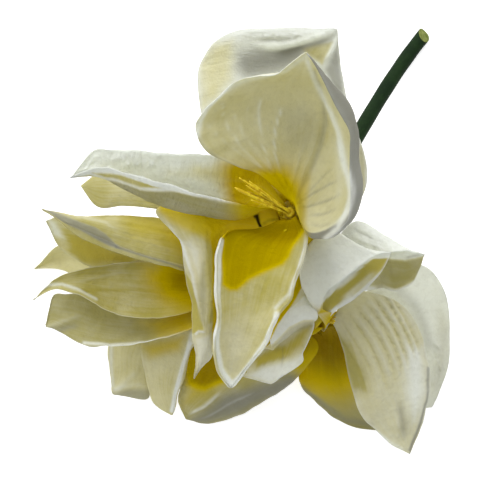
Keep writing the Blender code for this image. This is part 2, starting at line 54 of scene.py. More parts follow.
DRAWN_HEIGHT = 60.0
PIXELS_PER_SLOPE = 1080.0
FRAME_PIXELS = 480
SENSOR_MM = 36.0
CLIP_START = 0.01

PETALS_A_BLOOM = 6
PETAL_ANGLE = 60
CLOTH_THICKNESS = 0.36
PETAL_ROWS = 110
ROW_CROWDING = 1.15
HALF_COLUMNS = 26
RIM_COLUMNS = 8
RIM_SHARE = 0.1
MIDRIB_LIMITS = (0.15, 0.85)
INNER_SEAT_RADIUS = 3.8
OUTER_SEAT_RADIUS = 6.0
SEAT_GAP = 0.75
CLAW_FLARE = 0.25
LIP_RADIUS = 8.8
LIP_HEIGHT = 2.6
FLAT = 0.4

# Reliefs. RISE, FALL and START are where a smooth step starts and ends, in shares of the petal's length, of
# its half width for RUFFLE_MARGIN, EDGE_RISE and EDGE_FALL, and of a mark's line for LINE_RISE and LINE_FALL.
# PLEAT_SHIFT, PLEAT_SWAY and PLEAT_SWELL are the height and speed of waves, RUFFLE_WAVES the fewest and most
# waves along a margin, and CRUMPLES sizes and heights in millimetres.
RIM_RISE = 0.27
RIM_FALL = (0.8, 1.0)
RIM_LEAST = 0.25
PLEAT_RISE = (0.06, 0.3)
PLEAT_FALL = (0.55, 0.95)
PLEAT_SHIFT = (0.1, 5)
PLEAT_SWAY = (0.5, 3)
PLEAT_SWELL = (0.35, 3.7)
PLEAT_MEAN = 0.65
PLEAT_SHARPNESS = 3
RUFFLE_WAVES = (3.0, 5.0)
SMALL_WAVES = (0.5, 2.3)
RUFFLE_MARGIN = (0.5, 1.0)
RUFFLE_RISE = (0.2, 0.5)
RUFFLE_FALL = (0.85, 1.0)
SPREAD_RISE = (0.0, 0.03)
SPREAD_FALL = (0.08, 0.16)
EDGE_RISE = (0.93, 1.0)
EDGE_FALL = (1.0, 1.02)
EDGE_START = (0.1, 0.3)
EDGE_SINK = 0.3
# How strongly a painted highlight whitens the margins.
EDGE_PALE = 0.35
WARM_AT_CLAW = 1.1
WARM_FADE = 0.3
CRUMPLES = ((16.0, 0.8), (5.0, 0.25), (2.6, 0.1))
CRUMPLE_START = (0.05, 0.25)
CRINKLE_SIZE = 1.6
CRINKLE_HEIGHT = 0.16
CRINKLE_START = (0.1, 0.3)
LINE_RISE = (-0.05, 0.25)
LINE_FALL = (0.7, 1.0)

TUBE_RADIUS = 6.8
TUBE_NECK = 3.4
TUBE_LENGTH = 11.0
TUBE_STATIONS = 30
TUBE_ROUNDING = 22
RIB_DEPTH = 0.03
CUP_LIP = ((-2.6, -1.2, -0.2, 0.15), (6.2, 7.4, 9.2, 9.4))
PEDICEL_RADIUS = 2.6
STALK_FLARE = 1.15
STALK_STEPS = 24
STALK_ROUNDING = 12
STALK_ENDS = (9, 5)
STALK_NECK = 1.5
STEM_RADIUS = 4.0
STEM_STEPS = 60
STEM_ROUNDING = 14
STEM_WAVES = (0.015, 40)
KNOB_RADIUS = 7.0
SKIN_VOXEL = 0.55
SKIN_SOFTENING = 6
JOINT_GAP = 0.35
CUT_MARGIN = 3.0
THREADS = 30
THICK_THREADS = 6
THICK_START = 0.4
THICK_REACH = 0.84
REACH_SWING = (0.16, 2.4, 0.5)
THICK_SPREAD = 1.3
FINE_REACH = (0.6, 1.0)
FINE_SPREAD = (0.5, 2.3)
THREAD_STEPS = 24
THREAD_ROUNDING = 3
THREAD_SINK = 0.4
THREAD_RISE = 6
FOOT_SPREAD = 0.62
FAN_SPREAD = 1.3
FAN_AT_MIDDLE = 0.6
FILAMENT_RADIUS = 0.34
FINE_FILAMENT = 0.85
FILAMENT_SPREAD = 1.9
ANTHER_RADIUS = 0.6
ANTHER_PROFILE = (0.7, 1.0, 1.1, 1.0, 0.5)
OVARY_RADIUS = 2.7
OVARY_HEIGHT = 2.4
BOSS_ROUNDING = 8
BOSS_PROFILE = ((0.0, 1.0), (0.3, 0.98), (0.6, 0.9), (0.85, 0.65), (1.0, 0.4))

UMBEL = (31.0, -2.0, 58.0)
STEM_BEND = ((51.0, 38.5, 38.0), (82.5, 90.5, 4.0))
STEM_FOOT = (101.5, 113.0, 4.0)
CUT_NORMAL = (0.62, 0.45, 0.64)

# Noises of the materials are scale, detail and roughness, stretches are across and along the petal, and bumps
# are strength and distance in metres. A step is from where to where, and then from which share to which.
STREAK_STRETCH = (9.0, 1.6)
STREAK_NOISE = (1.0, 4.0, 0.6)
CRINKLE_STRETCH = (5.0, 60.0)
CRINKLE_NOISE = (1.0, 3.0, 0.6)
CLOUD_NOISE = (60.0, 3.0, 0.55)
SPECKLE_NOISE = (420.0, 2.0, 0.6)
WEAVE_NOISE = (900.0, 2.0, 0.6)
MOTTLE_DETAIL = (4.0, 0.6)
CUP_SCALE = 150.0
MOTTLE_STEP = (0.3, 0.7)
GOLD_BY_STREAK = (0.2, 0.6, 0.85, 1.0)
WARM_BY_CLOUD = (0.25, 0.75, 0.8, 1.2)
WARM_BY_STREAK = (0.3, 0.7, 1.1, 0.9)
CREAM_STEP = (0.0, 0.5)
OLIVE_STEP = (0.4, 1.1)
SPECKLE_STEP = (0.4, 0.8, 0.0, 0.1)
GOLD_STEP = (0.0, 0.8)
DEEP_GOLD_STEP = (0.7, 1.5)
NECK_STEP = (0.02, 0.3)
WHOLE_STEP = (0.0, 1.0)
WEAVE_SHARE = 0.5
CLOTH_BUMP = (1.0, 0.0007)
MOTTLE_BUMP = (0.5, 0.0002)
TRANSLUCENCY = 0.42
GLOW_SHARE = 0.75

KEY_PLACE = (0.05, 1.05, 0.95)
KEY_SIZE = 1.2
KEY_POWER = 14.0
SIDE_LIGHTS = (((-1.1, 0.3, 0.8), 0.9, 6.0),)
LAMP_TARGET = (0, 0, 0.05)
LAMP_TINT = (0.98, 0.99, 0.997)
WORLD_TINT = (0.957, 0.98, 1.0, 1)
WORLD_STRENGTH = 0.65
FLOOR_HALF = 6.0
FLOOR_HEIGHT = -0.00005
FLOOR_WHITE = 0.8
FLOOR_ROUGHNESS = 0.9
FLOOR_GLOW = 0.6


@dataclass(frozen=True)
class Bloom:
    """A bloom opens along axis from the throat, where its petals start. turn is the first petal's azimuth.

    threads are the middle and end of its bundle of stamens, as one looks from above.
    """

    throat: tuple
    axis: tuple
    turn: float
    threads: tuple


@dataclass(frozen=True)
class Petal:
    """One petal from its claw to its tip.

    rows are cross-sections from the claw outwards. Each has three points, each as x, y, height: the clockwise
    margin as one looks into the bloom, the midrib and the other margin. x and y are as they look from
    VIEW_HEIGHT above the ground, measured on the plane at DRAWN_HEIGHT. keel is 0 for a round cross-section
    and 1 for a sharp fold at the midrib. Each rim is (width, degrees): a strip beyond the margin that curls
    back for a positive angle, and over the inner face for a negative one. claw is the length of the upright
    part at the base, and span the part of the ring that it takes, in degrees each way from its middle. A
    petal with a lip bends back at once and passes flat over the tube's rim.
    """

    rows: tuple
    tip: tuple
    claw: float = 6.0
    lip: bool = False
    span: tuple = (-45.0, 45.0)
    keel: float = 0.15
    rims: tuple = ((0.0, 0.0), (0.0, 0.0))


def petal(*rows, **form):
    """A petal with these cross-sections."""
    return Petal(rows, **form)


@dataclass(frozen=True)
class Look:
    """How one petal's cloth is coloured and pressed.

    gold is how far its golden base reaches, in shares of its length, at the clockwise margin, the midrib and
    the other margin, and fade the share over which it ends. deep is how golden the base is, and richest the
    limit for it and for what marks add; the darker gold of a high deep is partly painted shade. warm is how
    yellow the cloth is beyond, and its olive at high values is painted shade; grey is the share of painted
    shade and pale the share of painted highlight. pleats are (number, depth), ruffle the height of each
    margin's waves, and crinkle the strength of the finest relief. rim is the share of painted shade on its
    rolled rims, which grow from the share rim_start of its length. spread is how much wider each half is just
    above the claw. fine is how close its grid is.
    """

    gold: tuple = (0.25, 0.28, 0.25)
    fade: float = 0.18
    deep: float = 1.0
    warm: float = 0.4
    pleats: tuple = (7, 0.15)
    ruffle: tuple = (0.5, 0.5)
    crinkle: float = 0.3
    grey: float = 0.0
    pale: float = 0.0
    rim: float = 0.0
    rim_start: float = 0.08
    spread: tuple = (0.0, 0.0)
    richest: float = 1.5
    fine: float = 1.0


@dataclass(frozen=True)
class Mark:
    """A feature of one petal as it looks from above: a line, or a patch where closed.

    width is how far a line reaches to each side, or how soft a patch's border is. lift raises the cloth
    towards the viewer, unevenly where crinkled; gold, warm, pale, grey and dark are added to the cloth's
    colour shares. grey is painted shade, dark painted shadow and pale painted highlight, and a large warm or
    gold paints the olive and deeper gold of cloth in shade. A line fades out at its ends unless it is blunt.
    """

    line: tuple
    width: float
    lift: float = 0.0
    gold: float = 0.0
    warm: float = 0.0
    pale: float = 0.0
    grey: float = 0.0
    dark: float = 0.0
    crinkled: float = 0.0
    closed: bool = False
    blunt: bool = False


def line(width, *numbers, **features):
    """A mark through points given as x, y, x, y and so on."""
    return Mark(tuple(zip(numbers[::2], numbers[1::2])), width, **features)


def band(width, *numbers, **features):
    """A line that keeps its strength up to its ends."""
    return line(width, *numbers, blunt=True, **features)


def patch(width, *numbers, **features):
    """The inside of a line that ends where it starts."""
    return line(width, *numbers, closed=True, **features)


BLOOMS = {
    "top": Bloom((24, 13, 86), (-0.36, 0.16, 0.92), 154, ((11, 21, 101), (-2, 28.5, 104))),
    "left": Bloom((0, -23, 58), (-0.97, -0.15, 0.05), 60, ((-9, -24.5, 58), (-16, -25.5, 59))),
    "lower": Bloom((14, -36, 42), (-0.58, -0.66, -0.48), 30, ((6, -45, 34), (-2, -54, 28))),
    "right": Bloom((41, -39, 46), (0.8, -0.56, -0.15), 30, ((44.5, -38.5, 47.5), (47.5, -37.5, 48.5))),
}

PETALS = {
    "top_1": petal(
        (32, 6, 96.5, 30, 23, 90, 13, 30, 94), (47, 8, 105, 36, 37, 93, -2, 37, 101),
        (59, 20, 115, 42, 50, 99, -17.5, 45, 110), (59.5, 42, 121, 43.5, 64, 107, -21.5, 60, 117),
        (54.5, 67, 125, 41, 77, 118, -3, 78.5, 124), (43, 82.5, 130, 36.5, 86, 127, 19, 84.5, 130),
        tip=(33, 93.5, 134), keel=0.35, rims=((14.5, 80.0), (0.0, 0.0)),
    ),
    "top_2": petal(
        (42, 15, 88, 26, 28, 82, 8, 33, 84), (59, 18, 74, 28, 50, 72, -8, 47, 79),
        (63, 40, 70, 26, 72, 68, -20, 66, 77), (54, 68, 72, 28, 88, 74, -19, 90, 77),
        (50, 90, 77, 38, 98, 82, 0, 104, 78),
        tip=(48.5, 105.5, 84), claw=1.0, lip=True,
    ),
    "top_3": petal(
        (13, 31, 88.5, 14, 19, 88, 20, 15, 91), (1, 40, 94, 3, 11, 84, 8, 16, 97),
        (-19, 42.5, 99, -18, 12, 83, -13, 21, 101), (-42, 44, 100, -40, 17, 85, -38, 28, 102),
        (-62, 45.5, 99, -58, 25, 89, -58, 34, 101), (-74, 44, 98, -72, 32, 94, -73, 36, 99),
        tip=(-85, 31, 97), claw=3.0, keel=0.3,
    ),
    "top_4": petal(
        (9, 17, 79.5, 10, 7, 82, 15, 3, 82), (-20, 18, 77, -4, 8, 80.5, 3, 0, 77),
        (-41, 15.5, 75, -13, 2, 81, -8, -7, 73), (-30, 0, 74, -14, -12, 79.5, -10.5, -18, 71),
        (-26.5, -18, 70, -14, -26, 78, -11.5, -31, 68), (-24, -38, 66, -15.5, -41, 73, -13.5, -44, 65),
        (-22, -56, 64, -17, -55, 67, -14.5, -56, 62),
        tip=(-23, -69.5, 61), claw=1.0, lip=True,
    ),
    "top_5": petal(
        (12, 6.5, 91, 22, 5, 89, 32, 5, 93), (-5, 4, 93, 15, -4, 88.5, 32.5, -3, 93.5),
        (-10, -8, 93, 11.5, -14, 87.5, 30, -12, 93), (-10.5, -21, 93, 8.5, -24, 87, 27, -21, 93),
        (-10, -31, 92, 6.5, -33, 86.5, 24.5, -31, 92), (-10, -39, 91, 4.5, -41, 86, 18, -39.5, 91),
        (-12, -56, 87, 0, -56, 83, 11, -54.5, 87), (-8.5, -68.5, 82, -3.5, -68, 80, 2, -66, 82),
        tip=(-4.5, -74, 79), claw=3.0, rims=((4.5, 110.0), (4.5, 110.0)),
    ),
    "top_6": petal(
        (28, -2, 83, 34, 3, 85, 36.5, 8, 85), (22, -15, 68, 29, -12, 67.5, 36.5, -8.5, 60.5),
        (17, -32, 65, 25, -30, 66, 33.5, -27.5, 62), (15.5, -51, 65, 25, -39, 68, 38.5, -37.5, 65),
        (16, -54.5, 62, 27, -46, 61, 37, -40.5, 62), (12, -54, 57, 24, -47, 56, 37, -43, 59),
        (3.5, -66, 56, 18, -61, 54, 32, -56, 57), (4, -69, 56, 14, -69, 55, 27, -65, 57),
        tip=(15.5, -72, 55), claw=1.0, lip=True, span=(-35.0, 45.0),
    ),
    "left_1": petal(
        (-6, -25, 68, -5.5, -20.5, 69, -5, -17, 68.5), (-20, 0, 69, -16, 4, 69.5, -13, 9, 69),
        (-37.5, 14, 68, -34, 19, 69, -32, 25, 67), (-57.5, 17, 70, -56, 24.5, 71, -55, 33, 69),
        (-72.5, 17.5, 73, -71, 25, 73, -71.5, 33, 72),
        tip=(-79.5, 27, 74), claw=3.0, span=(-45.0, 0.0),
    ),
    "left_2": petal(
        (-9, -18.5, 63, -7.5, -14, 61, -8, -10, 57), (-27.5, -13, 65, -26, -2.5, 63, -25, 6, 58),
        (-49.5, -7, 70, -49, 2, 70, -45, 11.5, 62), (-67.5, 0, 71, -67.5, 7, 73, -66, 12.5, 66),
        (-84, 7.5, 73, -84, 11, 74, -83, 12.2, 70),
        tip=(-99, 15.5, 72), span=(-15.0, 45.0), rims=((4.0, -100.0), (0.0, 0.0)),
    ),
    "left_3": petal(
        (-8, -16, 58, -9, -14, 54, -9, -17, 50), (-30, -2.5, 58, -32.5, 1, 52, -32.5, -11, 46),
        (-55, 4, 62, -57.5, 4, 54, -60, -13, 46), (-77.5, 9, 65, -81, 6, 56, -80, -11, 46),
        (-90, 12, 64, -92.5, 7.5, 58, -92, -1, 50),
        tip=(-97, 9.5, 61),
    ),
    "left_4": petal(
        (-7, -14, 50, -7, -17, 48, -6, -21, 46), (-30, -5, 42, -32.5, -15, 34, -31, -25, 32),
        (-55, -2.5, 34, -57.5, -14, 20, -55, -26, 22), (-77.5, -3, 26, -80, -11, 9, -77.5, -21, 14),
        (-92.5, -3.5, 16, -92.5, -10, 3, -90, -15, 8),
        tip=(-103, -14.5, FLAT),
    ),
    "left_5": petal(
        (-9, -19, 53, -8, -24, 52, -7, -28, 54), (-27.5, -14, 50, -26, -26, 46, -25, -36, 54),
        (-50, -10.5, 52, -47.5, -25, 44, -47.5, -39.5, 54), (-67.5, -12, 54, -67.5, -22.5, 46, -67.5, -35, 54),
        (-83, -15.5, 56, -82.5, -21, 52, -81, -27.5, 56), (-93.5, -20.5, 58, -93, -22.5, 57, -92.5, -24.5, 58),
        tip=(-103.5, -30, 60),
    ),
    "left_6": petal(
        (-6, -26, 50, -4, -29, 54, -2, -29, 60), (-25, -34, 44, -26, -41, 46, -24.5, -44.5, 54),
        (-47.5, -32.5, 42, -47.5, -47, 42, -45, -50.5, 50), (-67.5, -30, 42, -70, -46, 42, -66, -53, 48),
        (-86.5, -27, 44, -89, -40, 43, -82.5, -50.5, 46), (-94, -28.5, 43, -94.5, -39, 42, -92, -45, 44),
        tip=(-97, -43.5, 42),
    ),
    "lower_1": petal(
        (22, -41, 41, 16, -42, 44, 10, -42, 44), (37, -49, 36, 22.5, -47.5, 42, -8, -46, 35),
        (31.5, -66, 28, 11, -61, 36, -26, -52, 25), (16, -78.5, 15, -2.5, -71, 27, -28, -66, 17),
        (-2.5, -88, 6, -16, -80.5, 16, -31, -79, 12), (-17.5, -92, 3, -23.5, -86, 9, -30, -84, 8),
        tip=(-27, -89.5, 5), keel=0.5,
    ),
    "lower_2": petal(
        (7, -42, 46, 5, -39, 48, 3.5, -36, 47), (-7.5, -47.5, 39, -14, -41, 38, -17.5, -34, 37),
        (-25, -52.5, 32, -35, -45, 32, -45, -39, 30), (-29, -66, 24, -38.5, -61, 25, -49.5, -53.5, 22),
        (-32.5, -77, 17, -39, -74, 18, -46, -74, 15), (-33, -84, 13, -36, -83.5, 13, -40.5, -84, 11),
        tip=(-34, -87.5, 10), rims=((4.0, 110.0), (0.0, 0.0)),
    ),
    "lower_3": petal(
        (5, -35, 44, 4, -33, 41, 5, -32, 37), (-17.5, -37.5, 32, -20, -31.5, 31, -20, -27.5, 25),
        (-40, -47.5, 24, -46, -39, 24, -50, -32.5, 18), (-46, -67.5, 14, -57.5, -55, 18, -65, -50, 14),
        (-48, -80, 8, -59, -70, 14, -65.5, -64, 12),
        tip=(-63.5, -77, 11),
    ),
    "lower_4": petal(
        (5, -33, 33, 6, -33, 31, 9, -33, 30), (-17, -32, 20, -17.5, -36, 18, -12, -40, 16),
        (-35, -43, 11, -37.5, -48, 7, -30, -53, 5),
        tip=(-54, -62, FLAT), span=(0.0, 45.0),
    ),
    "lower_5": petal(
        (5, -39, 35, 8, -41, 33, 13, -42, 32), (-11, -44, 18, -5, -50, 17, 3, -54, 16),
        (-24, -56, 8, -16.5, -61, 5, -6, -64, 5), (-28, -65, FLAT, -22, -69, FLAT, -13, -72, FLAT),
        tip=(-25, -77, FLAT),
    ),
    "lower_6": petal(
        (15, -42, 30, 18, -43, 30, 21, -42, 32), (11, -57, 15, 18, -58, 15, 27, -58, 17),
        (3, -67, 6, 9.5, -68, 5, 18, -67, 7), (-4, -74, FLAT, 2, -76, FLAT, 10, -75, 1),
        tip=(-4, -83, FLAT), span=(-45.0, 0.0),
    ),
    "right_1": petal(
        (48, -33, 45, 45.5, -27.5, 50, 43.5, -30, 52.5), (56, -27, 46, 48, 0, 57, 52, -18, 60),
        (69, -24, 50, 58, 9.5, 62, 64, -8, 70), (79.5, -25, 54, 73, 1.5, 68, 76, -6.5, 79),
        (88, -19, 62, 84, -4.5, 72, 85.5, -5, 79),
        tip=(92.5, -7, 75), claw=2.0, span=(-45.0, 30.0),
    ),
    "right_2": petal(
        (41.5, -34, 68, 37, -32.5, 67.5, 44, -39.5, 58), (43, -26.5, 77, 31, -21, 73, 49, -34.5, 60),
        (52, -19.5, 85, 33.5, -4, 78, 56.5, -30, 63), (62, -11.5, 89, 45, 5, 79, 65.5, -22, 68),
        (70, -7, 91, 60, -4, 85, 72, -14, 82),
        tip=(75.5, -6, 89), claw=1.0, lip=True, span=(-30.0, 20.0),
    ),
    "right_3": petal(
        (33, -42.5, 50, 31, -46, 50, 32, -49, 49), (23, -49, 50, 21, -53, 50, 24, -57, 49),
        (14, -55, 48, 12, -60, 47, 16, -64, 46),
        tip=(5, -66, 43), claw=1.0, lip=True, span=(-35.0, 35.0),
    ),
    "right_4": petal(
        (36, -42, 38, 43, -44, 36.5, 49, -41.5, 38), (30, -59, 16, 45, -60, 22, 56, -57.5, 28),
        (31, -73, 8, 47.5, -74, 14, 61, -71, 22), (42.5, -85, 4, 54, -84, 8, 67, -82, 16),
        (57, -93.5, 1, 62.5, -92, 1, 72, -90, 4),
        tip=(72, -95.5, FLAT), span=(-15.0, 45.0),
    ),
    "right_5": petal(
        (45, -41, 43, 49, -36, 41.5, 53, -28, 44), (51, -53, 38, 64, -40, 40, 74, -28.5, 38),
        (55, -71, 34, 74, -54, 40, 87, -40, 34), (60, -86, 30, 80, -69, 37, 93.5, -59, 30),
        (69, -96, 27, 83, -85, 33, 94.5, -76, 27), (78, -103.5, 26, 84.5, -98, 28, 90.5, -94, 26),
        tip=(85, -107, 26),
    ),
    "right_6": petal(
        (47.5, -42, 30, 51, -37, 30.5, 54, -32, 33), (62.5, -45, 25, 75, -31, 30, 88, -12, 36),
        (77.5, -62.5, 18, 87.5, -45, 26, 102, -25, 32), (86, -77.5, 12, 95, -61, 20, 105, -50, 24),
        (91, -84, 10, 96.5, -76, 14, 102, -69, 16),
        tip=(96, -83.5, 11), span=(-45.0, 0.0),
    ),
}

# A petal's grey and rim are painted shade and its pale painted highlight, set for how lit each petal is; a high warm
# gives the olive of painted shade, and a high deep the darker gold of painted shade.
LOOKS = {
    "top_1": Look(
        gold=(0.26, 0.28, 0.32), fade=0.36, deep=0.95, richest=1.15, warm=0.6, grey=0.15, pleats=(9, 0.1),
        ruffle=(0.3, 0.5), rim=0.75, fine=1.4,
    ),
    "top_2": Look(gold=(0.15, 0.15, 0.15), warm=0.02, grey=0.28, pleats=(5, 0.15), crinkle=0.8, fine=1.4),
    "top_3": Look(
        gold=(0.2, 0.3, 0.3), warm=0.0, pale=0.8, pleats=(6, 0.15), crinkle=1.2, rim_start=-0.25, richest=0.85,
        fine=1.5,
    ),
    "top_4": Look(
        gold=(0.3, 0.3, 0.3), deep=0.8, richest=0.8, spread=(0.6, 0.0), warm=0.65, grey=0.15, pleats=(6, 0.22),
        crinkle=0.9, fine=1.4,
    ),
    "top_5": Look(gold=(0.15, 0.15, 0.15), warm=0.85, grey=0.1, pleats=(6, 0.03), ruffle=(0.15, 0.15), fine=1.4),
    "top_6": Look(gold=(0.3, 0.3, 0.3), warm=0.4, pleats=(4, 0.1), ruffle=(0.3, 0.3), crinkle=0.5, fine=1.6),
    "left_1": Look(warm=0.95, grey=0.25, ruffle=(0.3, 0.3)),
    "left_2": Look(
        gold=(0.3, 0.35, 0.35), fade=0.35, warm=1.0, grey=0.12, pleats=(6, 0.1), ruffle=(0.2, 0.2), crinkle=0.6,
        rim=0.2, fine=1.2,
    ),
    "left_3": Look(warm=0.75, grey=0.1, ruffle=(0.3, 0.3)),
    "left_4": Look(warm=0.55, grey=0.1, ruffle=(0.3, 0.3), fine=0.8),
    "left_5": Look(
        gold=(0.35, 0.4, 0.35), fade=0.35, warm=0.95, pleats=(9, 0.12), ruffle=(0.2, 0.2), crinkle=0.6, fine=1.2,
    ),
    "left_6": Look(
        gold=(0.35, 0.35, 0.35), fade=0.35, warm=1.1, grey=0.4, pleats=(6, 0.1), ruffle=(0.2, 0.2), crinkle=0.5,
        fine=1.2,
    ),
    "lower_1": Look(
        gold=(0.3, 0.3, 0.4), fade=0.3, warm=1.0, grey=0.3, pleats=(6, 0.2), ruffle=(0.3, 0.3), crinkle=0.5,
        fine=1.2,
    ),
    "lower_2": Look(gold=(0.35, 0.4, 0.35), warm=0.7, grey=0.1, pleats=(5, 0.1), ruffle=(0.2, 0.2)),
    "lower_3": Look(gold=(0.35, 0.4, 0.35), warm=0.65, grey=0.15, pleats=(5, 0.1), ruffle=(0.2, 0.2)),
    "lower_4": Look(fine=0.6),
    "lower_5": Look(fine=0.6),
    "lower_6": Look(fine=0.6),
    "right_1": Look(gold=(0.2, 0.2, 0.2), warm=0.0, pale=0.5, pleats=(6, 0.2), crinkle=0.6, fine=1.2),
    "right_2": Look(gold=(0.2, 0.2, 0.2), warm=0.0, pale=1.0, pleats=(5, 0.1), ruffle=(0.2, 0.2), fine=1.4),
    "right_3": Look(fine=0.6, deep=1.2),
    "right_4": Look(
        gold=(0.6, 0.6, 0.6), fade=0.5, deep=1.6, warm=1.2, grey=0.45, spread=(0.5, 0.5), pleats=(6, 0.15),
    ),
    "right_5": Look(
        gold=(0.06, 0.1, 0.08), fade=0.08, warm=0.4, grey=0.2, pleats=(8, 0.1), ruffle=(0.4, 0.4), crinkle=0.7,
        rim_start=-0.2, spread=(0.5, 0.5), fine=1.7,
    ),
    "right_6": Look(gold=(0.15, 0.2, 0.15), warm=0.1, grey=0.14, pleats=(5, 0.2), crinkle=0.8),
}
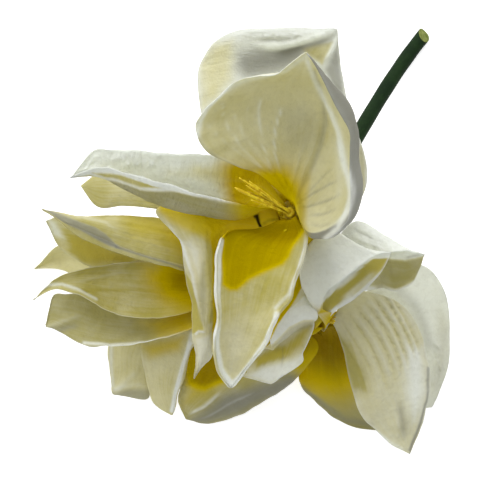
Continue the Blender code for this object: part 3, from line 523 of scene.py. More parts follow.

# Many marks paint light and shade: painted shade in creases, valleys, undersides and faces turned from the light,
# painted shadow in gaps, painted highlights on crests, rims and lit faces, and cast shadows painted in gold and
# olive.
MARKS = {
    # Painted highlights on the vein ridges, the crest and the margin; painted shade along the creases and the valley
    # before the rolled rim.
    "top_1": (
        band(0.8, -16.5, 58, -10.5, 51.5, -4.5, 46.5, 3, 41.5, 10, 36.5, lift=0.35, pale=0.3),
        band(0.8, -9, 68.5, -8.5, 63, -6, 56, -1, 49, 6, 41, 13, 34, lift=0.45, pale=0.4),
        band(0.8, -3.5, 64, -1, 58.5, 2.5, 51.5, 7, 45, 14, 36, lift=0.45, pale=0.35),
        band(0.7, 3.5, 68, 4, 61, 6, 52, 9.5, 44.5, 15, 36, lift=0.3, pale=0.25),
        band(0.8, 10, 71, 9.5, 65, 9.5, 58, 10.5, 51, 12.5, 44, 16.5, 33, lift=0.5, pale=0.5),
        band(0.9, 21, 66, 19, 61, 17.5, 55, 17, 49, 17.5, 43, 19.5, 36, 22.5, 28, lift=0.55, pale=0.55),
        band(0.7, 14, 59, 13.5, 52, 14.5, 45, 17.5, 36, lift=0.25, pale=0.2),
        band(0.9, 31.5, 47.5, 29.5, 40, 27.5, 34, 24.5, 25, lift=0.35, pale=0.3),
        line(0.9, 38, 52.5, 35, 42.5, 31.5, 34, 28, 25, lift=0.25, pale=0.25),
        line(0.7, 28, 17, 36, 23, 45, 28, 52, 31, lift=-0.5, grey=0.3, crinkled=0.8),
        line(0.6, 30, 20, 37, 27, 44, 34, 50, 38, lift=-0.3, grey=0.2, crinkled=0.8),
        line(0.7, 29, 15, 38, 18, 47, 21, 53.5, 24, lift=-0.5, grey=0.3, crinkled=0.8),
        line(0.7, 33, 12, 41, 13, 50, 16, lift=-0.4, grey=0.25, crinkled=0.8),
        line(0.7, 34, 8, 40, 7, 47, 9, lift=-0.4, grey=0.2, crinkled=0.8),
        patch(5, 21.5, 65, 32.5, 67.5, 39, 61, 39, 50, 34, 45, 25, 45, 21, 55, grey=0.15),
        patch(6.0, 36.5, 19, 40, 34, 45, 45, 52.5, 40, 56, 25, 52.5, 10, 42.5, 0, 38, 2, 35.5, 9, gold=-1.3,
            warm=-0.1),
        patch(2.0, 38, 90, 45, 78, 52, 64, 58, 51, 61, 35, 62, 20, 58.5, 7, 51.5, 0, 44, -3.5, 43, 0, 52, 10,
            55, 22.5, 52, 37.5, 48.5, 55, 42, 71, pale=0.2),
        patch(6.0, 12, 34, 22, 35, 26.5, 27, 25, 17.5, 18, 23, gold=0.45),
        band(1.4, 30, 22, 35, 34, 40.5, 47, 43, 60, 42, 70, 37, 84, lift=-0.5, grey=0.25),
        line(3.0, 45, 55, 49, 45, 50.5, 34, 50, 22.5, 46.5, 12.5, lift=0.6, pale=0.3),
        band(1.6, -22, 52.5, -17.5, 66, -9, 75, 5, 80, 23, 85, 34, 92.5, pale=0.5),
        band(1.6, 34, 89, 38, 78, 42, 71, 46, 64, 49, 55, 51, 45, 52.5, 37.5, 54.5, 31, 55.5, 24, 55, 18.5,
            52.5, 11.5, 49, 6, 42.5, 1, lift=0.2, pale=0.6),
    ),
    # Painted highlight on the top ridge and fold line; painted shade in the valley under the ridge, on the patch
    # below it and on the strip by the fold.
    "top_2": (
        line(2.4, 49, 105.5, 41, 102.5, 31, 99.5, 22, 97.5, 12, 97, 2, 98, lift=1.4, pale=0.9, crinkled=0.4),
        line(2.2, 48, 101.5, 39, 98, 30, 96, 23, 94, 15, 92.5, lift=-1.4, grey=0.3),
        patch(5.0, 0, 93, 9, 95, 20, 95, 30, 95.5, 32, 91, 25, 87, 14, 84, 3, 82, -2, 87, grey=0.42, pale=-0.1),
        patch(6.0, -21, 89, -14, 98, -4, 99, -3, 90, -5, 80, -12.5, 70, -20, 65, warm=0.35, grey=-0.1),
        patch(1.5, 31, 95, 46.5, 99, 41, 88, warm=0.6),
        line(1.0, 49, 103, 46, 95, 41, 88, lift=1.0, pale=0.8),
        patch(1.5, 48.5, 97, 52.5, 67.5, 48, 75, 43, 85, grey=0.35),
        line(1.0, 5, 101, 15, 102, 30, 102.5, 41, 105, lift=0.5, crinkled=2.0),
        line(0.8, 8, 99.5, 20, 100, 32, 101, lift=-0.4, crinkled=2.0, grey=0.2),
        patch(2.0, 62, 49, 63, 35, 62, 22.5, 59, 25, 59, 45, warm=0.5, grey=0.25),
    ),
    # Painted highlight along the lit margin; painted shade, olive and dull, on the near wall's outer face below it.
    "top_3": (
        band(0.8, -80, 35, -72.5, 36, -65, 36.5, -57.5, 34, -47.5, 30, -37.5, 26.5, -25, 24, -12.5, 22, 5, 18,
            25.5, 16, lift=0.4, pale=1.0),
        patch(1.0, -74, 34, -57.5, 32.5, -47.5, 29, -38, 26, -50, 26.5, -61, 30, -68, 31.5, warm=0.9, pale=-0.7),
        patch(1.2, -82.5, 31, -75, 33, -67.5, 30.5, -61, 29, -50, 25.5, -25, 23, 5, 16.5, 25.5, 15, 15, 11.5, 0, 9,
            -12.5, 9.5, -42.5, 16, warm=0.9, grey=0.45, pale=-0.8),
        patch(12.0, -8, 37, 0, 41, 22.5, 31, 26, 19, 22.5, 16.5, 5, 18.5, -2, 22, -6, 28, gold=1.0),
        patch(8.0, -20, 35, -9, 38, 0, 40, 0, 24, -12.5, 27, warm=0.5, pale=-0.4),
        patch(6.0, -37.5, 36, -22.5, 38, -5, 34, -20, 30, -37.5, 31, warm=0.35, pale=-0.4),
        line(1.6, -67.5, 41, -57.5, 42, -45, 42.5, -32.5, 41.5, lift=0.5, crinkled=3.0),
        line(1.6, -60, 38, -47.5, 38.5, -35, 37, lift=0.5, crinkled=3.0),
        line(0.8, -78, 34, -74, 40, -68, 44, lift=0.4, pale=0.4),
    ),
    # Painted shadow of petal_top_3 across the top, painted shade on the right half, painted highlights on the lit
    # crest and the curl, and painted shadow in the throat's gap.
    "top_4": (
        patch(3.0, -45, 20, -12.5, 17.5, -7, 7, -14, -3, -20, 2, -29, 5.5, -36, 10, gold=0.55, warm=0.3),
        patch(2.0, -15, 17.5, 30, 20, 30, 0, -12, 0, gold=1.2),
        patch(1.5, -17, 0, -13, 2, -13, -40, -15.5, -41, -16, -20, warm=0.5),
        patch(1.0, -14, 2.5, -10.5, 7.5, -10, -52.5, -14, -52.5, gold=0.95),
        patch(1.0, -28, -14, -23, -22, -21, -32.5, -18, -45, -24, -47, -27, -30, warm=0.7, gold=0.2),
        line(0.9, -41.5, 16, -36, 9.5, -30, 0, -26, -9, -23, -17.5, -21.5, -30, -19.5, -39, -16.5, -45, lift=0.4,
            pale=0.6),
        patch(3.0, -30, 0, -24, 1, -19.5, -5, -20, -17.5, -24, -11, pale=0.5),
        patch(2.0, -18, -11, -16.5, -25, -17, -43, -19.5, -39, -21, -25, warm=0.25, grey=0.3),
        line(0.7, -22, -47.5, -20, -45.5, -16, -45.5, lift=0.6, pale=0.8),
        patch(1.5, -21.5, -49, -15, -47, -14, -57.5, -17.5, -64, -21, -66, pale=0.5, gold=-0.5),
        # Painted shadow in the gap at the throat, and painted shade along the crease at the claw.
        patch(0.4, 7, 11, 10, 11, 11, 6.5, 9.5, 6.5, 8.5, 9, dark=0.9),
        line(0.8, 10, 6.5, 14, 8.5, 22, 11, dark=0.35, gold=0.5),
    ),
    # Painted cast shadow of petal_top_3 in deep gold, painted shade beside the clockwise margin and at the tip, and
    # painted highlights on the rolled rims and the lit lower face.
    "top_5": (
        # Painted cast shadow of petal_top_3.
        patch(2.8, -9.5, -6, -8.5, -22.5, -5, -25, -1.5, -25, 1.5, -22.5, 5, -19.5, 10, -17, 16, -14.5, 21.5, -12,
            24.5, -8.5, 26.5, -3.5, 29.5, 1.5, 31.5, 7, 30, 17.5, 20, 20, 0, 15, -9, 9, gold=1.2),
        patch(1.0, -17.5, 2, -13.5, 2, -14, -42.5, -17.5, -42.5, gold=1.1),
        line(1.2, 16, -16, 11, -26, 5, -41, 0, -56, lift=-0.15, warm=0.1),
        line(1.2, 23, -15, 17, -28, 11, -40, lift=-0.15, warm=0.1),
        band(1.3, 33.5, 5, 33, -4, 31, -11, 29, -18, 25, -27, 18, -34, lift=0.3, pale=0.6),
        band(1.5, -9.5, 0, -11, -7, -11, -17.5, -11.5, -30, -12, -42.5, -11.5, -54, -9.5, -64, -5, -72, lift=0.7,
            pale=0.9, gold=-0.8),
        band(1.4, 18.5, -37, 17, -43, 13, -51, 7.5, -59, 2, -66, -2.5, -71.5, lift=0.6, pale=0.9),
        patch(1.2, -9, -66, -4, -74, 1, -67, -4, -70, grey=0.35, pale=0.5),
        patch(6.0, -9, -45, 0, -45, 5, -52.5, -1, -64, -5, -69, -8, -60, warm=-0.3, pale=0.2),
    ),
    # Painted shade in gold and olive on the inner face, painted highlights on the fold's crest and the lit lower
    # part, and painted shade under the fold and along the crease and rim.
    "top_6": (
        patch(0.7, 29, 0, 33, -5, 32, -15, 31, -22.5, 28, -29, 24, -35.5, 20, -43, 16, -50, 12, -48, 15, -37.5,
            22, -29, 26.5, -15, gold=1.0, warm=0.5),
        patch(0.8, 15.5, -50.5, 19.5, -42, 25, -35, 32, -28, 36.5, -32, 39.5, -36, 37.5, -39.5, 32, -40, 24.5, -43,
            18, -50, pale=1.0, gold=-1.0, lift=0.3),
        band(1.1, 16, -51, 18, -45, 22, -39, 27, -34.5, 32, -33, 36, -34.5, 39, -37, lift=0.9, pale=1.0),
        patch(1.0, 16, -54, 20.5, -48, 25.5, -43.5, 31.5, -41, 37.5, -40, 36, -44, 30.5, -45, 25, -47.5, 20, -52,
            grey=0.35),
        patch(3.0, 7.5, -59, 15, -55, 23, -52, 31, -45, 35, -43.5, 31.5, -53, 25, -58, 15, -61, 8, -64, warm=0.7,
            gold=0.35),
        patch(3.0, 4, -68, 11, -63.5, 20, -61.5, 30, -59, 27, -66, 15, -72, pale=0.9, gold=-0.4),
        line(0.8, 21, -52, 21.5, -59, 20.5, -67, lift=-0.6, grey=0.35),
        band(1.3, 38.5, -41, 35.5, -47.5, 33, -55, 30, -61, 26.5, -65.5, 20, -69, lift=0.5, grey=0.3, pale=0.4),
    ),
    # Painted shade on the rolled band and along its lower edge, with painted highlight and shade on a ridge and
    # groove.
    "left_2": (
        patch(0.7, -98.5, 16, -90, 13, -80, 9, -72.5, 6.5, -67, 3, -60, -4.5, -65, -3, -72, 0.5, -80, 5, -89, 9.5,
            grey=0.45, warm=-0.3),
        band(0.6, -62, -3.5, -45, -9, -25, -15, grey=0.4),
        patch(9.0, -61, 13, -45, 14, -25, 9, -25, -5, -40, -4, -55, 1, gold=0.35),
        line(1.2, -90, 14, -77.5, 11.5, -67.5, 9, -59, 3, pale=0.35),
        line(1.0, -65, 9, -45, 6, -26, 0, lift=-0.4, warm=0.2),
        line(1.0, -65, 3, -45, -1.5, -27, -8, lift=0.4, pale=0.15),
    ),
    # Painted highlight at the tip.
    "left_3": (
        patch(4.0, -87, 4, -75, 2, -55, -9, -55, -12, -77.5, -11, -85, -5, warm=0.5, gold=0.3),
        patch(2.0, -97, 12, -92, 9, -87, 0, -94, 2, pale=0.7),
    ),
    # Painted highlights on the curled tip's edge and a ridge, painted shade in a groove.
    "left_5": (
        patch(9.0, -50, -11, -25, -14, -24, -30, -37.5, -30, -47.5, -22.5, gold=0.55),
        patch(7.0, -37.5, -13, -24, -14, -24, -26, -32.5, -23, gold=0.5),
        band(1.0, -103.5, -29, -101, -25, -96, -22.5, -89, -22, -81, -25, -72, -30, pale=0.7, lift=0.4),
        line(1.4, -89, -23, -75, -19, -60, -16, -45, -16, lift=0.4, pale=0.25),
        line(1.0, -85, -26, -70, -25, -50, -25, -30, -27, lift=-0.3, warm=0.2),
    ),
    # Painted highlights on a ridge and the lower rim, painted shade in the groove beside the ridge.
    "left_6": (
        line(1.6, -100, -45, -94, -43, -88, -40.5, -81, -38, -75, -37, lift=0.9, pale=0.25),
        line(1.6, -99, -46.5, -92, -45.5, -85, -43.5, -78, -43, lift=-0.6, grey=0.2),
        band(1.0, -78, -51.5, -65, -52.5, -45, -51, -32.5, -48, -25, -45, pale=0.7),
        patch(8.0, -50, -41, -25, -32.5, -25, -45, -40, -49, gold=0.6),
    ),
    # Painted highlights on the midrib crest and a fold; painted shade in gold and near black over the faces below it
    # and in the throat.
    "lower_1": (
        line(1.0, -27, -88, -17.5, -82.5, -7.5, -74, lift=0.6, pale=0.6),
        patch(7.0, -28.5, -83, -17.5, -78.5, 0, -68, 30, -58, 39, -47.5, 20, -45, -20, -50, gold=0.5, dark=0.1),
        patch(4.0, -26, -91, -7.5, -77.5, 30, -66, 35, -56, 40, -52.5, 30, -74, 0, -86, -17.5, -92, grey=0.45,
            dark=0.08),
        patch(5.0, 28, -47.5, 42.5, -50, 41, -65, 30, -72.5, 25, -62.5, gold=0.6, dark=0.1),
        line(0.8, -22, -91, -7.5, -83, 11, -74, lift=0.3, pale=0.3),
        patch(3.0, -29, -46.5, -11, -46.5, -8, -70, -17.5, -74, -26, -72, gold=0.8, grey=-0.3, dark=0.08),
    ),
    # Painted highlight on the rolled rim.
    "lower_2": (
        band(1.2, -24, -46.5, -26, -55, -29, -64, -32, -75, -34, -85, pale=1.0, lift=0.3),
        patch(4.0, -50, -52.5, -27.5, -47.5, -30, -56, -45, -59, gold=0.5),
    ),
    # Painted highlights on the fold lines and rim, painted shade below the fold.
    "lower_3": (
        line(1.6, -66, -77, -61, -74, -56, -69.5, -49, -63, lift=1.0, pale=0.3),
        line(1.4, -64, -75, -58, -73, -52, -72, -45, -72.5, lift=0.8, pale=0.3),
        patch(2.0, -65, -77, -57, -74.5, -45, -74.5, -43, -83, -62.5, -80, grey=0.35, lift=-0.3),
        band(1.2, -64, -52.5, -64.5, -62.5, -63.5, -72.5, pale=0.5, grey=0.2),
    ),
    # Painted shade on the inner face under the wavy margin, a painted highlight on that margin, and painted highlight
    # and shade on a ridge and groove.
    "right_1": (
        patch(1.2, 73, -9, 82.5, -10, 92, -8, 92, -12, 87.5, -20, 80, -24.5, 69, -24.5, 64, -22, 70, -16, warm=0.8,
            grey=0.35, pale=-0.6),
        line(1.0, 74, -7.5, 80, -7, 86, -5.5, lift=0.5, pale=1.0),
        line(0.8, 82, -9, 87.5, -7.5, 92.5, -7, grey=0.6),
        line(0.8, 52.5, 7, 65, 1, 76, -3, lift=-0.4, grey=0.25, crinkled=1.0),
        line(0.8, 55, 2.5, 65, -2, 74, -5, lift=0.4, pale=0.3),
    ),
    # Painted shadow of petal_top_1 near the top, painted shade inside the hollow, and painted highlights on the
    # streak and the near margin.
    "right_2": (
        patch(4.0, 34, 2, 50, 1.5, 56, -2, 45, -5, 34, -11, warm=0.6),
        patch(0.8, 38.5, -37, 40.5, -31.5, 44.5, -27.5, 53, -20, 61, -12.5, 66, -9, 74.5, -8.5, 72, -14.5, 66, -21,
            58.5, -26.5, 51, -31.5, 45, -35.5, warm=1.2, gold=0.25, pale=-0.9),
        line(1.3, 50, -30.5, 56, -26, 63, -20.5, 68.5, -14.5, pale=0.7, warm=-0.3),
        band(0.6, 74.5, -8.5, 71, -15.5, 65.5, -22, 58, -27.5, 50.5, -32.5, 44.5, -36, grey=0.7, warm=-0.6),
        band(0.8, 39, -35.5, 40.5, -31, 44, -27, 49, -23.5, 55, -19, 61, -12.5, 66, -8.5, pale=0.9, lift=0.3),
        line(1.5, 31.5, -15, 33.5, -24, 38, -33, grey=0.3),
    ),
    # Painted shade, near black and gold, deep in the throat.
    "right_4": (
        patch(16.0, 38, -45, 52.5, -42.5, 58, -66, 52.5, -81, 43, -76, 37, -62.5, dark=0.35, gold=0.3),
        band(1.6, 28, -71, 41, -82, 52.5, -90, 66, -92, grey=0.15, gold=-0.4),
    ),
    # Painted shade in the grooves and painted highlights on the ridges between them, painted shade over the left part
    # and at the tip's fold and right edge, and painted highlights on the lit right part and the lower margin.
    "right_5": (
        line(0.9, 71.5, -23, 77, -30, 81.5, -37.5, 85.5, -45, 88.5, -52.5, 90.5, -61, lift=-0.54, warm=0.2,
            crinkled=1.5),
        line(0.9, 68, -24, 74.5, -31.5, 79.5, -39.5, 83.5, -47, 86.5, -55, 88.5, -65, lift=-0.6, warm=0.25,
            crinkled=1.8),
        line(0.9, 64, -26, 70.5, -34, 76, -42, 80, -50, 83, -58, 85.5, -68, lift=-0.6, warm=0.25, crinkled=1.8),
        line(0.9, 60, -28, 67, -36.5, 72.5, -44.5, 77, -53, 80, -61, 82, -71, lift=-0.54, warm=0.2, crinkled=1.5),
        line(0.9, 56, -30.5, 62.5, -39, 68.5, -47.5, 73, -56, 76.5, -65, 78.5, -75, lift=-0.54, warm=0.2,
            crinkled=1.5),
        line(0.9, 52.5, -34, 58.5, -42.5, 64, -51, 68.5, -59.5, 72, -68.5, 74.5, -79, lift=-0.48, warm=0.2,
            crinkled=1.2),
        line(0.9, 49.5, -39, 55, -47, 60, -55, 64.5, -63.5, 68.5, -73, lift=-0.36, warm=0.15, crinkled=1.0),
        line(0.9, 47, -44, 52, -52, 56.5, -60, 61, -69, 64.5, -79, lift=-0.3, warm=0.15, crinkled=0.8),
        line(0.8, 69.5, -23.5, 76, -31, 81, -39, 84.5, -46.5, 87.5, -54, 89.5, -63, lift=0.42, pale=0.3),
        line(0.8, 66, -25, 72.5, -33, 78, -41, 82, -48.5, 85, -56.5, 87, -66.5, lift=0.42, pale=0.3),
        line(0.8, 62, -27, 69, -35.5, 74.5, -43.5, 78.5, -51.5, 81.5, -59.5, 84, -69.5, lift=0.42, pale=0.3),
        line(0.8, 58, -29.5, 65, -38, 70.5, -46, 75, -54.5, 78.5, -63, 80.5, -73, lift=0.42, pale=0.3),
        line(0.8, 54.5, -32.5, 60.5, -41, 66.5, -49.5, 71, -58, 74.5, -67, 76.5, -77, lift=0.35, pale=0.25),
        patch(6.0, 49, -47.5, 54, -52.5, 61, -63, 63, -75, 56, -76, 52, -65, warm=0.7, grey=0.1),
        band(1.0, 55, -76, 56, -82.5, 60, -89.5, 67, -95.5, 75, -100.5, 81, -104.5, pale=0.5, lift=0.3),
        line(2.2, 79.5, -80, 81, -88, 82, -95, 82.5, -103, lift=-1.0, grey=0.25),
        line(1.6, 77.5, -81, 79, -89, 79.5, -97, lift=0.6, pale=0.2),
        band(0.8, 94, -64, 93.5, -80, 89.5, -94, 85, -105, grey=0.5),
        patch(6.0, 84, -55, 91, -54, 93, -75, 87, -90, 83, -75, pale=0.7, warm=-0.2, grey=-0.1),
    ),
    # Painted shade beside petal_right_5's margin and on the right half turned from the light, and a painted highlight
    # on the lit band.
    "right_6": (
        band(3.0, 66, -22, 76, -22, 86, -30, 92, -41, 94, -52.5, grey=0.2),
        patch(3.0, 73, -19, 82, -20, 92, -30, 98, -43, 97, -50, 92, -39, 84, -29, pale=0.35),
        patch(5.0, 100, -35, 104.5, -45, 104.5, -60, 99, -77.5, 96, -72.5, 99, -52.5, grey=0.2, warm=0.1),
        line(2.0, 96, -47.5, 99, -55, 100, -64, 98, -72.5, lift=0.5, crinkled=2.0),
    ),
}


def unit(vector):
    return np.asarray(vector, float) / np.linalg.norm(vector)


def unit_rows(vectors, least):
    """The vectors at length 1, apart from those that are shorter than least."""
    return vectors / np.maximum(np.linalg.norm(vectors, axis=-1), least)[..., None]


def smooth(value, low, high):
    """0 below low, 1 above high, and a smooth step between."""
    t = np.clip((value - low) / (high - low), 0.0, 1.0)
    return t * t * (3 - 2 * t)


def window(value, rise, fall, height=1.0):
    """A smooth step up to height over rise, and down again over fall."""
    return height * smooth(value, *rise) * (1 - smooth(value, *fall))


def wave(value, height, speed, start):
    return height * np.sin(speed * value + start)


def placed(point):
    """The real place of a point whose x and y are given as seen from above."""
    x, y, height = point
    scale = (VIEW_HEIGHT - height) / (VIEW_HEIGHT - DRAWN_HEIGHT)
    return np.array((x * scale, y * scale, height))


def seen(grid):
    """The x and y of the grid's points as they look from above, on the drawn plane."""
    scale = (VIEW_HEIGHT - DRAWN_HEIGHT) / (VIEW_HEIGHT - grid[..., 2])
    return grid[..., 0] * scale, grid[..., 1] * scale


def round_axis(axis, azimuth):
    """The direction square to axis at this azimuth, which grows anticlockwise as one looks into the bloom."""
    level = unit(np.cross((0, 0, 1), axis))
    rising = np.cross(unit(axis), level)
    return math.cos(azimuth) * level + math.sin(azimuth) * rising


def through(points, knots, stations):
    """A smooth curve through points that lie at knots, read at stations."""
    points = np.asarray(points, float)
    slopes = np.gradient(points, knots, axis=0)
    k = np.clip(np.searchsorted(knots, stations, side="right") - 1, 0, len(knots) - 2)
    h = (knots[k + 1] - knots[k])[:, None]
    t = ((stations - knots[k]) / h[:, 0])[:, None]
    return (
        points[k] * (2 * t**3 - 3 * t**2 + 1)
        + slopes[k] * h * (t**3 - 2 * t**2 + t)
        + points[k + 1] * (3 * t**2 - 2 * t**3)
        + slopes[k + 1] * h * (t**3 - t**2)
    )


def bezier(points, t):
    a, b, c, d = (np.asarray(p, float) for p in points)
    t = np.asarray(t)[:, None]
    return a * (1 - t) ** 3 + 3 * b * t * (1 - t) ** 2 + 3 * c * t * t * (1 - t) + d * t**3


def claw_points(bloom, slot, petal, degrees):
    """The first points of a margin or midrib at this azimuth from the bloom's first petal."""
    outward = round_axis(bloom.axis, math.radians(bloom.turn + degrees))
    radius = OUTER_SEAT_RADIUS if slot % 2 else INNER_SEAT_RADIUS
    steps = [(radius, SEAT_GAP), (radius + CLAW_FLARE * petal.claw, SEAT_GAP + petal.claw)]
    steps += [(LIP_RADIUS, LIP_HEIGHT)] if petal.lip else []
    return [np.asarray(bloom.throat, float) + unit(bloom.axis) * height + outward * out for out, height in steps]


def petal_lines(bloom, slot, petal, stations):
    """The petal's two margins and its midrib at these shares of its length."""
    lines = []
    first, last = petal.span
    for column, side in enumerate((first, (first + last) / 2, last)):
        points = claw_points(bloom, slot, petal, PETAL_ANGLE * slot + side)
        points += [placed(row[3 * column : 3 * column + 3]) for row in petal.rows]
        lines.append(points + [placed(petal.tip)])
    steps = np.linalg.norm(np.diff(lines[1], axis=0), axis=1)
    knots = np.concatenate([[0], np.cumsum(steps)])
    knots /= knots[-1]
    return [through(points, knots, stations) for points in lines]


def petal_grid(bloom, slot, petal, look):
    """The petal's middle surface as rows of points, with each row's and each column's share.

    Columns run from -1 at the clockwise margin to 1 at the other, and a little further in a rim.
    """
    half_columns = round(HALF_COLUMNS * look.fine)
    stations = 1 - (1 - np.linspace(0, 1, round(PETAL_ROWS * look.fine) + 1)) ** ROW_CROWDING
    clockwise, midrib, other = petal_lines(bloom, slot, petal, stations)
    share = np.linspace(0, 1, half_columns + 1)
    near = np.linalg.norm(midrib - clockwise, axis=1)[:, None, None]
    far = np.linalg.norm(other - midrib, axis=1)[:, None, None]
    m = near / np.maximum(near + far, 1e-9)
    s = np.concatenate([m * share[None, :, None], m + (1 - m) * share[None, 1:, None]], axis=1)
    a, b, c = clockwise[:, None], midrib[:, None], other[:, None]
    m = np.clip(m, *MIDRIB_LIMITS)
    s = np.clip(s, 0, 1)
    arc = a * (s - m) * (s - 1) / m + b * s * (s - 1) / (m * (m - 1)) + c * s * (s - m) / (1 - m)
    folded = np.where(s <= m, a + (b - a) * s / m, b + (c - b) * (s - m) / (1 - m))
    grid = arc * (1 - petal.keel) + folded * petal.keel
    parts, sides = [grid], [np.linspace(-1, 1, 2 * half_columns + 1)]
    for side, (width, degrees) in zip((-1, 1), petal.rims):
        if width:
            strip = rim_strip(grid, stations, side, width, math.radians(degrees), look.rim_start)
            beyond = side * (1 + np.arange(1, RIM_COLUMNS + 1) / RIM_COLUMNS * RIM_SHARE)
            parts = [strip[:, ::-1], *parts] if side < 0 else [*parts, strip]
            sides = [beyond[::-1], *sides] if side < 0 else [*sides, beyond]
    return np.concatenate(parts, axis=1), stations, np.concatenate(sides)


def rim_strip(grid, stations, side, width, angle, start):
    """The points of a strip beyond one margin of the grid, which curls through angle over its width."""
    edge, next_in = (grid[:, 0], grid[:, 1]) if side < 0 else (grid[:, -1], grid[:, -2])
    outward = unit_rows(edge - next_in, 1e-6)
    back = unit_rows(np.cross(np.gradient(edge, axis=0), outward) * side, 1e-6)
    reach = window(stations, (start, start + RIM_RISE), RIM_FALL, width) + RIM_LEAST
    strip, place = [], edge
    for k in range(RIM_COLUMNS):
        turn = angle * (k + 0.5) / RIM_COLUMNS
        place = place + (outward * math.cos(turn) + back * math.sin(turn)) * (reach / RIM_COLUMNS)[:, None]
        strip.append(place)
    return np.stack(strip, axis=1)


def inner_normals(grid):
    return unit_rows(np.cross(np.gradient(grid, axis=1), np.gradient(grid, axis=0)), 1e-9)


def pleat_relief(look, along, across, random_numbers):
    """Narrow grooves that run from the claw to the tip, fan-like, a little wavy and unevenly deep."""
    count, depth = look.pleats
    first, second = random_numbers.uniform(0, WHOLE_TURN), random_numbers.uniform(0, WHOLE_TURN)
    warped = across + wave(across, *PLEAT_SHIFT, first)
    angle = math.pi * count * warped + second + wave(along, *PLEAT_SWAY, first)
    groove = (0.5 + 0.5 * np.cos(angle)) ** PLEAT_SHARPNESS
    strength = PLEAT_MEAN + wave(across, *PLEAT_SWELL, second)
    reach = window(along, PLEAT_RISE, PLEAT_FALL)
    return -depth * groove * strength * reach * (1 - np.clip(np.abs(across), 0, 1) ** 3)


def ruffle_relief(look, along, across, random_numbers):
    """Waves of the two margins."""
    total = 0.0
    for side, height in zip((-1, 1), look.ruffle):
        waves = random_numbers.uniform(*RUFFLE_WAVES)
        start = random_numbers.uniform(0, WHOLE_TURN)
        near = smooth(across * side, *RUFFLE_MARGIN)
        reach = window(along, RUFFLE_RISE, RUFFLE_FALL)
        smaller, closer = SMALL_WAVES
        swing = wave(along, 1, WHOLE_TURN * waves, start)
        swing = swing + wave(along, smaller, WHOLE_TURN * closer * waves, 2 * start)
        total = total + height * near * reach * swing
    return total


def uneven(grid, size):
    """Uneven values about 0 that change over about this many millimetres."""
    flat = grid.reshape(-1, 3) / size
    return np.array([noise.noise(Vector(p)) for p in flat]).reshape(grid.shape[:2])


def gold_share(look, along, across):
    """How golden the cloth is: deep at the base, 0 beyond the reach of its golden part."""
    c = np.clip(across, -1, 1)
    left, middle, right = look.gold
    reach = middle + (right - left) / 2 * c + ((left + right) / 2 - middle) * c * c
    return look.deep * (1 - smooth(along, reach - look.fade, reach + look.fade * 0.5))


def distance_to_line(x, y, corners):
    """The distance from points to a line with these corners, and the share of it at which each is nearest."""
    lengths = [math.hypot(bx - ax, by - ay) for (ax, ay), (bx, by) in zip(corners, corners[1:])]
    nearest, share, passed = np.full(x.shape, 1e9), np.zeros(x.shape), 0.0
    for (ax, ay), (bx, by), length in zip(corners, corners[1:], lengths):
        dx, dy = bx - ax, by - ay
        t = np.clip(((x - ax) * dx + (y - ay) * dy) / (length * length), 0, 1)
        distance = np.hypot(x - ax - t * dx, y - ay - t * dy)
        share = np.where(distance < nearest, (passed + t * length) / sum(lengths), share)
        nearest = np.minimum(nearest, distance)
        passed += length
    return nearest, share


def inside_patch(x, y, corners):
    """Which points lie inside a line that ends where it starts."""
    inside = np.zeros(x.shape, bool)
    for (ax, ay), (bx, by) in zip(corners, corners[1:]):
        crosses = (ay > y) != (by > y)
        rise = by - ay if by != ay else 1e-9
        inside ^= crosses & (x < (bx - ax) * (y - ay) / rise + ax)
    return inside


def mark_share(mark, x, y):
    """How strongly a mark acts on each point, from 0 to 1."""
    corners = (*mark.line, mark.line[0]) if mark.closed else mark.line
    distance, place = distance_to_line(x, y, corners)
    if mark.closed:
        signed = np.where(inside_patch(x, y, corners), distance, -distance)
        return smooth(signed, -mark.width, mark.width)
    share = np.exp(-((distance / mark.width) ** 2))
    return share if mark.blunt else window(place, LINE_RISE, LINE_FALL, share)


def petal_faces(rows, columns):
    """Quads between the rows of a grid, and triangles to the tip."""
    width = columns + 1
    faces = []
    for r in range(rows - 1):
        for k in range(columns):
            a = r * width + k
            faces.append((a, a + 1, a + 1 + width, a + width))
    tip = rows * width
    faces += [((rows - 1) * width + k, (rows - 1) * width + k + 1, tip) for k in range(columns)]
    return faces


def add_object(name, data):
    """A new object in the scene."""
    item = bpy.data.objects.new(name, data)
    bpy.context.scene.collection.objects.link(item)
    return item


